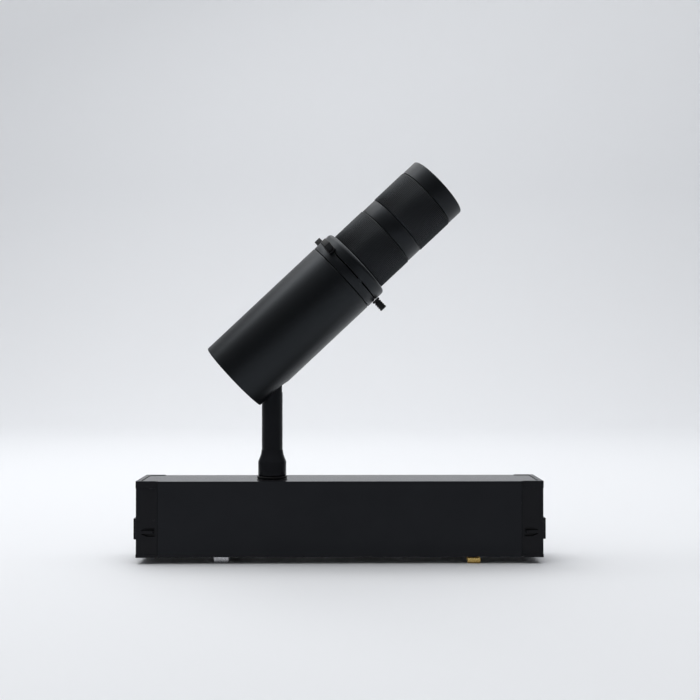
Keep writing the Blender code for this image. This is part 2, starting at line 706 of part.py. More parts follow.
def condenser():
    rim = HOUSING_RADIUS - HOUSING_WALL - GAP
    low = 50.5
    outline = [(rim, low + 10), (rim, low), (16.0, low), (16.0, low + 2), (18.8, low + 2), (18.8, low + 10)]
    turned("condenser_holder", outline, OPTICAL_AXIS, BLACK_PLASTIC, INNER_STEPS)
    turned("condenser_lens", lens_outline(18.5, low + 2 + GAP, 2.5, 4.0), OPTICAL_AXIS, GLASS, INNER_STEPS)


def gate():
    """The gate ring, the aperture plate that sits in it and the cover that closes the blade gap."""
    seam = HOUSING_FRONT + GAP
    spigot = HOUSING_RADIUS - HOUSING_WALL - GAP
    groove_out, groove_in, groove_floor = 22.6, 20.6, 75.6
    outline = [
        (HOUSING_RADIUS, GATE_RING_FRONT - 0.2),
        (HOUSING_RADIUS, seam + 0.2),
        (HOUSING_RADIUS - 0.2, seam),
        (spigot, seam),
        (spigot, 66.0),
        (20.0, 66.0),
        (20.0, seam),
        (17.5, seam),
        (17.5, 77.1),
        (20.2, 77.1),
        (20.2, GATE_RING_FRONT - 0.1),
        (groove_in, GATE_RING_FRONT - 0.1),
        (groove_in, groove_floor),
        (groove_out, groove_floor),
        (groove_out, GATE_RING_FRONT),
        (HOUSING_RADIUS - 0.2, GATE_RING_FRONT),
    ]
    turned("gate_ring", outline, OPTICAL_AXIS, BLACK_COAT)
    top = GATE_RING_FRONT - 0.1
    ring("aperture_plate", 20.0, APERTURE_RADIUS, top - 1.1, top, OPTICAL_AXIS, BLACK_STEEL, INNER_STEPS)

    fillet_r = COVER_RADIUS - COVER_FILLET
    fillet_z = COVER_FRONT - COVER_FILLET
    fillet = list(reversed(arc(fillet_r, fillet_z, COVER_FILLET, 0, 90, 6)))
    outline = fillet + [(COVER_RADIUS, COVER_REAR + 0.2), (COVER_RADIUS - 0.2, COVER_REAR)]
    mouth, ledge = 15.0, COVER_REAR + 1.2
    outline += [(mouth, COVER_REAR), (mouth, ledge), (RING_BORE, ledge), (RING_BORE, COVER_FRONT)]
    cover = turned("gate_cover", outline, OPTICAL_AXIS, BLACK_COAT)
    for i, centre in enumerate(SECTOR_CENTRES):
        turn = Matrix.Rotation(math.radians(centre + 45), 4, "Z")
        frame = empty(f"bridge_axis_{i + 1}", OPTICAL_AXIS, matrix=turn)
        low = (22.75, -1.5, GATE_RING_FRONT + 0.05)
        join(cover, box(f"bridge_{i + 1}", low, (COVER_RADIUS - 0.3, 1.5, COVER_REAR + 0.5), frame))


def shutter(number, angle):
    """One framing shutter: friction shoe in the ring's groove, thin blade and moulded handle."""
    turn = Matrix.Rotation(math.radians(angle), 4, "Z")
    frame = empty(f"shutter_axis_{number}", OPTICAL_AXIS, matrix=turn)
    low = GATE_RING_FRONT + 0.06 + (number - 1) * BLADE_PITCH
    middle = low + BLADE_THICK / 2

    half_angle = 5.0
    outline = arc(0, 0, 22.35, -half_angle, half_angle, 4) + arc(0, 0, 20.85, half_angle, -half_angle, 4)
    shoe_low, shoe_high = 75.9, GATE_RING_FRONT - 0.05
    lifted = Matrix.Translation((0, 0, (shoe_low + shoe_high) / 2))
    plate(f"shutter_shoe_{number}", outline, shoe_high - shoe_low, frame, BRASS, lifted)

    def sweep_limit(y):
        return math.sqrt(BLADE_SWEEP**2 - y**2) - BLADE_TRAVEL

    neck_end = HANDLE_START + 5.0
    widths = [NECK_HALF + (BLADE_HALF - NECK_HALF) * i / 6 for i in range(7)]
    upper = [(neck_end, NECK_HALF)] + [(sweep_limit(y), y) for y in widths] + [(BLADE_EDGE, BLADE_HALF)]
    outline = upper + [(x, -y) for x, y in reversed(upper)]
    lifted = Matrix.Translation((0, 0, middle))
    plate(f"shutter_blade_{number}", outline, BLADE_THICK, frame, BLACK_STEEL, lifted)

    long, wide, tall = HANDLE_SIZE
    centre = (GATE_RING_FRONT + COVER_REAR) / 2
    corner = (HANDLE_START, -wide / 2, centre - tall / 2)
    handle = box(
        f"shutter_handle_{number}",
        corner,
        (HANDLE_START + long, wide / 2, centre + tall / 2),
        frame,
        BLACK_PLASTIC,
        bevel=0.35,
    )
    deep, side, rise = HANDLE_FLANGE
    corner = (HANDLE_START, -wide / 2 - side, centre - tall / 2 - rise)
    far_corner = (HANDLE_START + deep, wide / 2 + side, centre + tall / 2 + rise)
    join(handle, box(f"handle_flange_{number}", corner, far_corner, frame))
    slit = 0.06
    low_corner = (HANDLE_START - 1, -NECK_HALF - slit, low - slit)
    high_corner = (neck_end + slit, NECK_HALF + slit, low + BLADE_THICK + slit)
    cut(handle, box(f"handle_slit_{number}", low_corner, high_corner, frame))


def cam_groove(name, centre, travel, turn):
    """A helical ribbon that cuts the cam groove inside a knurled ring."""
    half = CAM_PIN_RADIUS + 0.4
    overrun = math.radians(7)
    sweep = math.radians(turn) / 2 + overrun
    lead = travel / math.radians(turn)
    steps = 28
    bm = bmesh.new()
    sections = []
    for i in range(steps + 1):
        theta = -sweep + 2 * sweep * i / steps
        angle = math.radians(CAM_PIN_ANGLE) - theta
        station = centre + lead * theta
        out = Vector((math.cos(angle), math.sin(angle), 0))
        corners = [(RING_BORE - 0.8, -half), (19.3, -half), (19.3, half), (RING_BORE - 0.8, half)]
        sections.append([bm.verts.new(out * r + Vector((0, 0, station + dz))) for r, dz in corners])
    for one, two in zip(sections, sections[1:]):
        for k in range(4):
            bm.faces.new((one[k], one[(k + 1) % 4], two[(k + 1) % 4], two[k]))
    bm.faces.new(sections[0])
    bm.faces.new(sections[-1])
    bmesh.ops.recalc_face_normals(bm, faces=bm.faces)
    return add_object(name, to_mesh(name, bm), OPTICAL_AXIS, None)


def control_ring(name, stations, centre, travel, turn):
    """A knurled ring with its cam groove."""
    low, high = stations
    edge = 0.3
    outline = [
        (KNURL_RADIUS - edge, high),
        (KNURL_RADIUS, high - edge),
        (KNURL_RADIUS, low + edge),
        (KNURL_RADIUS - edge, low),
        (RING_BORE, low),
        (RING_BORE, high),
    ]
    made = turned(name, outline, OPTICAL_AXIS, BLACK_COAT)
    return cut(made, cam_groove(name + "_cam", centre, travel, turn))


def lens_carrier(name, lens_name, centre, bore):
    """A sliding lens cell with its cam pin, and the lens in it."""
    outer = BARREL_BORE - 0.3
    low, high = centre - CARRIER_LENGTH / 2, centre + CARRIER_LENGTH / 2
    ledge = bore - 1.4
    outline = [(outer, high), (outer, low), (ledge, low), (ledge, low + 1), (bore, low + 1), (bore, high)]
    cell = turned(name, outline, OPTICAL_AXIS, BLACK_STEEL, INNER_STEPS)
    pin_in, pin_out = (bore + outer) / 2, 19.0
    turn = math.radians(CAM_PIN_ANGLE)
    start = (pin_in * math.cos(turn), pin_in * math.sin(turn), centre)
    end = (pin_out * math.cos(turn), pin_out * math.sin(turn), centre)
    join(cell, rod(name + "_pin", CAM_PIN_RADIUS, start, end, OPTICAL_AXIS, steps=16))
    turned(lens_name, lens_outline(bore - GAP, low + 1 + GAP, 2.4, 3.6), OPTICAL_AXIS, GLASS, INNER_STEPS)


def lens_barrel():
    """The fixed barrel with straight pin slots, its two trim rings and the two turning rings."""
    low, high = COVER_REAR + 1.5, BEZEL_STATIONS[0] + 4.0
    barrel = ring("inner_barrel", BARREL_RADIUS, BARREL_BORE, low, high, OPTICAL_AXIS, BLACK_STEEL)
    for label, centre, travel in (("focus", FOCUS_CENTRE, FOCUS_TRAVEL), ("zoom", ZOOM_CENTRE, ZOOM_TRAVEL)):
        half = travel / 2 + CAM_PIN_RADIUS + 0.3
        side = CAM_PIN_RADIUS + 0.2
        corner = (-side, 14.0, centre - half)
        cut(barrel, box(f"{label}_slot", corner, (side, 19.0, centre + half), OPTICAL_AXIS))
    control_ring("focus_ring", FOCUS_STATIONS, FOCUS_CENTRE, FOCUS_TRAVEL, FOCUS_TURN)
    ring("barrel_band", BAND_RADIUS, RING_BORE, *BAND_STATIONS, OPTICAL_AXIS, BLACK_COAT)
    control_ring("zoom_ring", ZOOM_STATIONS, ZOOM_CENTRE, ZOOM_TRAVEL, ZOOM_TURN)
    back, front = BEZEL_STATIONS
    round_r = 1.0
    corner = list(reversed(arc(BEZEL_RADIUS - round_r, front - round_r, round_r, 0, 90, 4)))
    outline = corner + [(BEZEL_RADIUS, back), (RING_BORE, back), (RING_BORE, back + 4.3), (17.0, back + 4.3)]
    outline += [(17.0, front - 0.5), (17.5, front)]
    turned("front_bezel", outline, OPTICAL_AXIS, BLACK_COAT)
    lens_carrier("focus_carrier", "focus_lens", FOCUS_CENTRE, 12.5)
    lens_carrier("zoom_carrier", "zoom_lens", ZOOM_CENTRE, 13.6)


def build():
    driver_housing()
    base_cover()
    magnets()
    contacts()
    driver_electronics()
    for label, side in (("left", -1), ("right", 1)):
        end_cap(f"end_cap_{label}", side)
        release_tab(f"release_tab_{label}", side)
        tab_spring(f"tab_spring_{label}", side)
    swivel()
    stem()
    tilt_hinge()
    housing_tube()
    rear_cap()
    heatsink()
    light_engine()
    condenser()
    gate()
    for number, angle in enumerate(SHUTTER_ANGLES, start=1):
        shutter(number, angle)
    lens_barrel()
    bpy.context.view_layer.update()


build()
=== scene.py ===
import json
import math

import bmesh
import bpy
from mathutils import Matrix, Vector


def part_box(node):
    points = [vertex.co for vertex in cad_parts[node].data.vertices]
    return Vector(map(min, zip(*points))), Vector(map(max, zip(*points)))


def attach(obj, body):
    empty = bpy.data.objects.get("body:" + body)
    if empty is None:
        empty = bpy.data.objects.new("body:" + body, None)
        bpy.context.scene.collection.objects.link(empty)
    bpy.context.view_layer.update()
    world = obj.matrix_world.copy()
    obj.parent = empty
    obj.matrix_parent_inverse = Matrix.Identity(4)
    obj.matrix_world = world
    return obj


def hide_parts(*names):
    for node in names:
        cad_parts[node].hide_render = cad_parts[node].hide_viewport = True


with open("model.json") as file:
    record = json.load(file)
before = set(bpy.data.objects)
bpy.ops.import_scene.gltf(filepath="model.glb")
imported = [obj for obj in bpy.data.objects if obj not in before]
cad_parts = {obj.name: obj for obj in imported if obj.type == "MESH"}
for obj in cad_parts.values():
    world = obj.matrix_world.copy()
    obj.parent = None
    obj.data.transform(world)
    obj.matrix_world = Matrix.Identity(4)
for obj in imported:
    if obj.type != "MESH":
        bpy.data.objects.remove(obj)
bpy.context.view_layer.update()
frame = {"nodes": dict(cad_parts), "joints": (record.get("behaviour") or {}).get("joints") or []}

MM = 0.001

# Fineness of the visible surface
ROUND_STEPS = 144
SMALL_STEPS = 64
KNURL_TEETH = 120
KNURL_DEPTH = 0.3

# Sizes of the design, in millimetres
STEM_RADIUS = 6.25
COLLAR_RADIUS = 8.5
HOUSING_RADIUS = 23.8
HOUSING_INNER = 22.2
REAR_STATION = -15.1
HOUSING_FRONT = 73.0
SLOT_HALF = 6.75
NOTCH_TOP = -9.9
GATE_RING_FRONT = 78.6
COVER_REAR = 79.4
COVER_FRONT = 86.6
COVER_RADIUS = 23.75
COVER_FILLET = 2.2
SHUTTER_ANGLES = (-31.0, 50.0, 178.0, 250.0)
SECTOR_CENTRES = (-20.0, 70.0, 160.0, 250.0)
HANDLE_START = 24.1
HANDLE_SIZE = (7.3, 5.5, 4.2)
BARREL_RADIUS = 17.8
BARREL_BORE = 16.2
RING_BORE = 18.1
KNURL_RADIUS = 20.6
BAND_RADIUS = 20.3
BEZEL_RADIUS = 20.4
FOCUS_STATIONS = (86.9, 109.7)
BAND_STATIONS = (110.0, 119.5)
ZOOM_STATIONS = (119.8, 143.4)
BEZEL_STATIONS = (143.7, 153.8)
FOCUS_CENTRE = 98.0
ZOOM_CENTRE = 131.6

JOINTS = {joint["name"]: joint for joint in frame["joints"]}


def joint_frame(origin, x, z):
    """A matrix that carries local millimetres into the frame's metres."""
    y = z.cross(x)
    turn = Matrix((x, y, z)).transposed().to_4x4()
    return Matrix.Translation(origin) @ turn @ Matrix.Scale(MM, 4)


def optical_frame():
    """The head's own frame: Z along the light, X to its upper side, station 0 beside the tilt pivot."""
    along = Vector(JOINTS["focus_turn"]["axis"]).normalized()
    point = Vector(JOINTS["focus_turn"]["pos_m"])
    pivot = Vector(JOINTS["head_tilt"]["pos_m"])
    origin = point + along * along.dot(pivot - point)
    return joint_frame(origin, Vector((-along.z, 0, along.x)), along)


WORLD = Matrix.Scale(MM, 4)
STEM = joint_frame(Vector(JOINTS["stem_pan"]["pos_m"]), Vector((1, 0, 0)), Vector((0, 0, 1)))
HEAD = optical_frame()


# ---------------------------------------------------------------- materials

class Finish:
    """A Principled material with a small node graph round it, in object coordinates (metres)."""

    def __init__(self, name, metallic=0.0, **fixed):
        self.made = bpy.data.materials.new(name)
        self.made.use_nodes = True
        self.nodes = self.made.node_tree.nodes
        self.links = self.made.node_tree.links
        self.shader = self.nodes["Principled BSDF"]
        self.shader.inputs["Metallic"].default_value = metallic
        for key, value in fixed.items():
            self.shader.inputs[key.replace("_", " ")].default_value = value
        self.coords = self.node("ShaderNodeTexCoord").outputs["Object"]

    def node(self, kind, links=None, **settings):
        """Add a node, set its inputs or attributes, and link its sources."""
        made = self.nodes.new(kind)
        for key, value in settings.items():
            if key in made.inputs:
                made.inputs[key].default_value = value
            else:
                setattr(made, key, value)
        for key, source in (links or {}).items():
            self.links.new(source, made.inputs[key])
        return made

    def noise(self, per_metre, detail=3.0, stretch=None):
        """Noise whose grains are about 1/per_metre across, optionally stretched."""
        source = self.coords
        if stretch is not None:
            mapping = self.node("ShaderNodeMapping", {"Vector": source})
            mapping.inputs["Scale"].default_value = stretch
            source = mapping.outputs["Vector"]
        made = self.node("ShaderNodeTexNoise", {"Vector": source}, Scale=per_metre, Detail=detail)
        return made.outputs["Fac"]

    def spread(self, source, low, high, start=0.3, end=0.7):
        """Map a 0 to 1 pattern onto a range of values."""
        made = self.node("ShaderNodeMapRange", {"Value": source})
        made.inputs["From Min"].default_value = start
        made.inputs["From Max"].default_value = end
        made.inputs["To Min"].default_value = low
        made.inputs["To Max"].default_value = high
        return made.outputs["Result"]

    def blend(self, factor, one, two):
        """Mix two colours, each a tuple or a socket, by a factor socket."""
        made = self.node("ShaderNodeMix", {"Factor": factor}, data_type="RGBA")
        for socket, value in ((made.inputs[6], one), (made.inputs[7], two)):
            if isinstance(value, tuple):
                socket.default_value = (*value, 1.0)
            else:
                self.links.new(value, socket)
        return made.outputs[2]

    def colour(self, source):
        """Set the base colour to a tuple or link it to a socket."""
        if isinstance(source, tuple):
            self.shader.inputs["Base Color"].default_value = (*source, 1.0)
        else:
            self.links.new(source, self.shader.inputs["Base Color"])

    def roughness(self, source):
        """Link the roughness to a socket."""
        self.links.new(source, self.shader.inputs["Roughness"])

    def bump(self, height, distance, strength=1.0, under=None):
        """Turn a height pattern into a normal, on top of another if given."""
        links = {"Height": height}
        if under is not None:
            links["Normal"] = under
        made = self.node("ShaderNodeBump", links, Strength=strength, Distance=distance)
        return made.outputs["Normal"]

    def normal(self, source):
        """Link the normal to a socket."""
        self.links.new(source, self.shader.inputs["Normal"])


def coated_metal(name, dark, light, rough, gloss=0.2, grain=3200.0, depth=0.000012):
    """Satin powder coat or anodising: fine orange peel, faint clouding and a slightly uneven sheen."""
    finish = Finish(name, Specular_IOR_Level=gloss, Specular_Tint=(0.84, 0.92, 1.0, 1.0))
    finish.colour(finish.blend(finish.spread(finish.noise(38.0, 2.0), 0.0, 1.0), dark, light))
    finish.roughness(finish.spread(finish.noise(900.0, 4.0), rough - 0.015, rough + 0.02))
    peel = finish.bump(finish.noise(grain, 2.0), depth)
    finish.normal(finish.bump(finish.noise(240.0, 2.0), 0.000012, 0.5, peel))
    return finish.made


def moulded_plastic(name, dark, light, rough, gloss=0.3, grain=2600.0, depth=0.000012):
    """Spark-eroded moulding texture with an uneven sheen."""
    finish = Finish(name, Specular_IOR_Level=gloss)
    finish.colour(finish.blend(finish.spread(finish.noise(60.0, 3.0), 0.0, 1.0), dark, light))
    finish.roughness(finish.spread(finish.noise(150.0, 4.0), rough - 0.08, rough + 0.06))
    cells = finish.node("ShaderNodeTexVoronoi", {"Vector": finish.coords}, Scale=grain)
    finish.normal(finish.bump(cells.outputs["Distance"], depth))
    return finish.made


def plated_metal(name, dark, light, rough, stretch=(1.0, 1.0, 1.0), grain=900.0):
    """Bare or plated metal with drawn or ground lines along the unstretched direction."""
    finish = Finish(name, metallic=1.0)
    tarnish = finish.spread(finish.noise(120.0, 4.0), 0.0, 1.0)
    finish.colour(finish.blend(tarnish, dark, light))
    lines = finish.noise(grain, 5.0, stretch)
    finish.roughness(finish.spread(lines, rough - 0.06, rough + 0.12))
    finish.normal(finish.bump(lines, 0.00001, 0.6))
    return finish.made


def lathe_turned(name, dark, light, rough):
    """Blackened metal with the fine feed lines of a lathe, spaced along the head's axis."""
    finish = Finish(name, metallic=0.35, Specular_IOR_Level=0.5)
    finish.colour(finish.blend(finish.spread(finish.noise(90.0, 3.0), 0.0, 1.0), dark, light))
    along = tuple(JOINTS["focus_turn"]["axis"])
    station = finish.node("ShaderNodeVectorMath", {0: finish.coords}, operation="DOT_PRODUCT")
    station.inputs[1].default_value = along
    feed = finish.node("ShaderNodeMath", {0: station.outputs["Value"]}, operation="MULTIPLY")
    feed.inputs[1].default_value = 2 * math.pi / (0.25 * MM)
    wave = finish.node("ShaderNodeMath", {0: feed.outputs[0]}, operation="SINE").outputs[0]
    finish.roughness(finish.spread(finish.noise(300.0, 3.0), rough - 0.05, rough + 0.07))
    finish.normal(finish.bump(wave, 0.000006, 0.5))
    return finish.made


def circuit_board():
    """Green solder mask over copper tracks, with bare pads."""
    finish = Finish("solder_mask", Specular_IOR_Level=0.5, Coat_Weight=0.3)
    tracks = finish.node(
        "ShaderNodeTexBrick",
        {"Vector": finish.coords},
        Scale=260.0,
        Color1=(1.0, 1.0, 1.0, 1.0),
        Color2=(0.6, 0.6, 0.6, 1.0),
        Mortar=(0.0, 0.0, 0.0, 1.0),
    )
    tracks.inputs["Mortar Size"].default_value = 0.06
    finish.colour(finish.blend(tracks.outputs["Fac"], (0.012, 0.11, 0.045), (0.03, 0.22, 0.09)))
    finish.roughness(finish.spread(finish.noise(400.0), 0.28, 0.42))
    finish.normal(finish.bump(tracks.outputs["Fac"], 0.00003))
    return finish.made


def wound_wire(name, dark, light):
    """Close turns of enamelled wire under a varnish."""
    finish = Finish(name, Specular_IOR_Level=0.6, Coat_Weight=0.4)
    turns = finish.node("ShaderNodeTexWave", {"Vector": finish.coords}, Scale=420.0, Distortion=0.4)
    finish.colour(finish.blend(turns.outputs["Fac"], dark, light))
    finish.roughness(finish.spread(finish.noise(300.0), 0.3, 0.5))
    finish.normal(finish.bump(turns.outputs["Fac"], 0.00008))
    return finish.made


def polished_reflector():
    """Bright metal with small peened facets."""
    finish = Finish("reflector_mirror", metallic=1.0)
    haze = finish.spread(finish.noise(80.0), 0.0, 1.0)
    finish.colour(finish.blend(haze, (0.84, 0.85, 0.88), (0.93, 0.93, 0.95)))
    finish.roughness(finish.spread(finish.noise(500.0), 0.04, 0.14))
    peened = finish.node("ShaderNodeTexVoronoi", {"Vector": finish.coords}, Scale=520.0)
    finish.normal(finish.bump(peened.outputs["Distance"], 0.00006, 0.5))
    return finish.made


def optical_glass():
    """Clear glass with the faint violet of a coating and a trace of dust."""
    finish = Finish("coated_glass", Transmission_Weight=1.0, IOR=1.52, Coat_Weight=0.6, Coat_Roughness=0.02)
    finish.shader.inputs["Coat Tint"].default_value = (0.78, 0.80, 1.0, 1.0)
    haze = finish.spread(finish.noise(60.0), 0.0, 1.0)
    finish.colour(finish.blend(haze, (0.93, 0.95, 0.97), (0.97, 0.98, 1.0)))
    dust = finish.noise(1400.0, 6.0)
    finish.roughness(finish.spread(dust, 0.005, 0.05, 0.55, 0.8))
    finish.normal(finish.bump(dust, 0.000002, 0.2))
    return finish.made


def phosphor_resin():
    """Grainy yellow resin over the emitter."""
    finish = Finish("phosphor_resin", Subsurface_Weight=0.2, Specular_IOR_Level=0.6)
    grains = finish.spread(finish.noise(700.0, 4.0), 0.0, 1.0)
    finish.colour(finish.blend(grains, (0.80, 0.56, 0.07), (0.93, 0.74, 0.16)))
    finish.roughness(finish.spread(finish.noise(300.0), 0.22, 0.36))
    finish.normal(finish.bump(finish.noise(1800.0), 0.00003))
    return finish.made


COAT = coated_metal("satin_black_coat", (0.0014, 0.0016, 0.0022), (0.0022, 0.0024, 0.0030), 0.40, 0.34)
BOX_COAT = coated_metal(
    "box_black_coat", (0.0158, 0.0164, 0.0190), (0.0180, 0.0186, 0.0214), 0.16, 0.08, depth=0.000001
)
STEM_COAT = coated_metal("stem_black_coat", (0.0066, 0.0070, 0.0084), (0.0078, 0.0082, 0.0098), 0.40, 0.14)
# A bright coat for the cover's outer front fillet: a painted glint that stands in for the grazing highlight
# along that edge.
GLINT_COAT = coated_metal("painted_glint_edge", (0.16, 0.17, 0.18), (0.22, 0.23, 0.24), 0.30, 0.5)
RING_COAT = coated_metal(
    "ring_black_anodise", (0.0040, 0.0043, 0.0052), (0.0054, 0.0058, 0.0068), 0.40, 0.28, 5200.0, 0.000001
)
PLASTIC = moulded_plastic("black_moulding", (0.0058, 0.0061, 0.0072), (0.0082, 0.0085, 0.0096), 0.44)
HANDLE_PLASTIC = moulded_plastic("handle_moulding", (0.0060, 0.0062, 0.0070), (0.0095, 0.0098, 0.0108), 0.44)
CAP_MOULDING = moulded_plastic(
    "cap_moulding", (0.0134, 0.0140, 0.0164), (0.0146, 0.0152, 0.0176), 0.22, 0.07, depth=0.000002
)
WHITE = moulded_plastic("white_moulding", (0.74, 0.74, 0.72), (0.84, 0.84, 0.82), 0.42)
DARK_STEEL = lathe_turned("blackened_steel", (0.0120, 0.0122, 0.0135), (0.0200, 0.0204, 0.0220), 0.42)
NICKEL = plated_metal("nickel_plate", (0.62, 0.62, 0.64), (0.76, 0.76, 0.78), 0.24)
BRASS = plated_metal("bright_brass", (0.62, 0.42, 0.13), (0.80, 0.58, 0.22), 0.26, (1.0, 0.15, 0.15), 1600.0)
STEEL = plated_metal("zinc_steel", (0.46, 0.47, 0.49), (0.60, 0.61, 0.63), 0.32)
ALUMINIUM = plated_metal(
    "milled_aluminium", (0.56, 0.57, 0.59), (0.68, 0.69, 0.71), 0.34, (0.1, 1.0, 1.0), 1500.0
)
GLASS = optical_glass()
MIRROR = polished_reflector()
PHOSPHOR = phosphor_resin()
BOARD = circuit_board()
COPPER = wound_wire("varnished_copper", (0.34, 0.15, 0.05), (0.72, 0.40, 0.16))
TAPE = wound_wire("winding_tape", (0.42, 0.30, 0.06), (0.62, 0.47, 0.12))


# ---------------------------------------------------------------- mesh tools

def link_mesh(name, bm, matrix=WORLD, finish=None):
    """Make an object from a bmesh in local millimetres, its vertices carried into the frame."""
    bmesh.ops.transform(bm, matrix=matrix, verts=bm.verts)
    mesh = bpy.data.meshes.new(name)
    bm.to_mesh(mesh)
    bm.free()
    if finish is not None:
        mesh.materials.append(finish)
    made = bpy.data.objects.new(name, mesh)
    bpy.context.scene.collection.objects.link(made)
    return made


def shade(obj, angle=32.0):
    """Shade an object smooth, with edges over the angle kept sharp."""
    obj.data.shade_smooth()
    obj.data.set_sharp_from_angle(angle=math.radians(angle))
    return obj


def piece(obj, body, slot, *nodes):
    """Hang a finished piece on the empty of the body it rides on and hide the CAD nodes it stands for; the
    slot is not used.
    """
    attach(obj, body)
    if nodes:
        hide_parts(*nodes)


def arc(cx, cy, radius, start, end, steps):
    """Points along an arc between two angles in degrees."""
    angles = [math.radians(start + (end - start) * i / steps) for i in range(steps + 1)]
    return [(cx + radius * math.cos(a), cy + radius * math.sin(a)) for a in angles]


def soften(profile, radius, closed=True, steps=3):
    """Round every corner of a profile with a small arc, leaving ends on the axis alone."""
    points = [Vector(p) for p in profile]
    out = []
    count = len(points)
    for i, point in enumerate(points):
        if not closed and i in (0, count - 1):
            out.append(tuple(point))
            continue
        before, after = points[i - 1] - point, points[(i + 1) % count] - point
        if before.length < 1e-9 or after.length < 1e-9:
            continue
        turn = before.angle(after)
        if turn > math.radians(170):
            out.append(tuple(point))
            continue
        reach = min(radius / math.tan(turn / 2), before.length * 0.45, after.length * 0.45)
        first, last = point + before.normalized() * reach, point + after.normalized() * reach
        for k in range(steps + 1):
            t = k / steps
            out.append(tuple((1 - t) ** 2 * first + 2 * t * (1 - t) * point + t**2 * last))
    return out


def spin(profile, steps=ROUND_STEPS, radius_at=None):
    """Turn a profile of (radius, height) about Z; it runs down the outer side, top to bottom."""
    bm = bmesh.new()
    closed = profile[0][0] > 1e-6
    rings = []
    for radius, height in profile:
        if radius < 1e-6:
            rings.append([bm.verts.new((0, 0, height))])
            continue
        ring = []
        for i in range(steps):
            angle = 2 * math.pi * i / steps
            r = radius_at(radius, height, angle) if radius_at else radius
            ring.append(bm.verts.new((r * math.cos(angle), r * math.sin(angle), height)))
        rings.append(ring)
    pairs = list(zip(rings, rings[1:]))
    if closed:
        pairs.append((rings[-1], rings[0]))
    for upper, lower in pairs:
        for i in range(steps):
            j = (i + 1) % steps
            if len(upper) == 1:
                bm.faces.new((upper[0], lower[i], lower[j]))
            elif len(lower) == 1:
                bm.faces.new((upper[j], upper[i], lower[0]))
            else:
                bm.faces.new((upper[j], upper[i], lower[i], lower[j]))
    return bm


def turned(name, profile, matrix, finish, round_edge=0.2, steps=ROUND_STEPS, radius_at=None):
    """A turned piece with its corners rounded."""
    closed = profile[0][0] > 1e-6
    outline = soften(profile, round_edge, closed) if round_edge else profile
    made = link_mesh(name, spin(outline, steps, radius_at), matrix, finish)
    return shade(made)


def ring_outline(outer, inner, low, high):
    """The section of a plain ring, as a profile to turn."""
    return [(outer, high), (outer, low), (inner, low), (inner, high)]


def block(name, low, high, matrix=WORLD, finish=None, bevel=0.0, segments=3):
    """A box between two corners, with its edges rounded if asked."""
    bm = bmesh.new()
    bmesh.ops.create_cube(bm, size=1.0)
    bmesh.ops.scale(bm, vec=[b - a for a, b in zip(low, high)], verts=bm.verts)
    if bevel:
        bmesh.ops.bevel(bm, geom=bm.edges[:], offset=bevel, segments=segments, profile=0.5, affect="EDGES")
    bmesh.ops.translate(bm, vec=[(a + b) / 2 for a, b in zip(low, high)], verts=bm.verts)
    return shade(link_mesh(name, bm, matrix, finish))


def rod(name, radius, start, end, matrix=WORLD, finish=None, steps=SMALL_STEPS, bevel=0.0):
    """A cylinder between two points, with its rims rounded if asked."""
    bm = bmesh.new()
    run = Vector(end) - Vector(start)
    bmesh.ops.create_cone(bm, cap_ends=True, segments=steps, radius1=radius, radius2=radius, depth=run.length)
    if bevel:
        rims = [e for e in bm.edges if abs(e.verts[0].co.z - e.verts[1].co.z) < 1e-6]
        bmesh.ops.bevel(bm, geom=rims, offset=bevel, segments=3, profile=0.5, affect="EDGES")
    turn = Vector((0, 0, 1)).rotation_difference(run).to_matrix()
    bmesh.ops.rotate(bm, cent=(0, 0, 0), matrix=turn, verts=bm.verts)
    bmesh.ops.translate(bm, vec=(Vector(start) + Vector(end)) / 2, verts=bm.verts)
    return shade(link_mesh(name, bm, matrix, finish))


def prism(name, outline, thickness, matrix=WORLD, finish=None):
    """A flat outline in XY made thick, centred on its plane."""
    bm = bmesh.new()
    face = bm.faces.new([bm.verts.new((x, y, -thickness / 2)) for x, y in outline])
    grown = bmesh.ops.extrude_face_region(bm, geom=[face])
    moved = [v for v in grown["geom"] if isinstance(v, bmesh.types.BMVert)]
    bmesh.ops.translate(bm, vec=(0, 0, thickness), verts=moved)
    bmesh.ops.recalc_face_normals(bm, faces=bm.faces)
    return shade(link_mesh(name, bm, matrix, finish))


def baked(obj):
    """Replace an object's mesh by its evaluated mesh, and drop its modifiers."""
    bpy.context.view_layer.update()
    depsgraph = bpy.context.evaluated_depsgraph_get()
    old = obj.data
    obj.data = bpy.data.meshes.new_from_object(obj.evaluated_get(depsgraph))
    obj.modifiers.clear()
    bpy.data.meshes.remove(old)
    return obj


def carve(obj, cutters=(), joined=()):
    """Cut and join with exact Booleans, then remove the helpers."""
    for others, operation in ((joined, "UNION"), (cutters, "DIFFERENCE")):
        for other in others:
            change = obj.modifiers.new(other.name, "BOOLEAN")
            change.object = other
            change.operation = operation
            change.solver = "EXACT"
    baked(obj)
    for other in [*cutters, *joined]:
        bpy.data.objects.remove(other)
    return obj


def ease(obj, width, segments=2, angle=40.0):
    """Break every sharp edge of a carved piece."""
    change = obj.modifiers.new("edges", "BEVEL")
    change.width = width * MM
    change.segments = segments
    change.limit_method = "ANGLE"
    change.angle_limit = math.radians(angle)
    change.use_clamp_overlap = True
    shade(baked(obj))
    obj.modifiers.new("flat_faces", "WEIGHTED_NORMAL").keep_sharp = True
    return baked(obj)


def span(sign, near, far):
    """Two distances from the middle on one side of it, in rising order."""
    return sorted((sign * near, sign * far))


def corners(node):
    """A CAD node's box, in millimetres."""
    low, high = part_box(node)
    return [c / MM for c in low], [c / MM for c in high]


def restyle(slot_finishes):
    """Give the CAD nodes that stay visible their detailed materials."""
    for finish, nodes in slot_finishes:
        for name in nodes:
            node = frame["nodes"][name]
            if not node.data.materials:
                node.data.materials.append(finish)
            for material_slot in node.material_slots:
                material_slot.material = finish


# ---------------------------------------------------------------- driver box

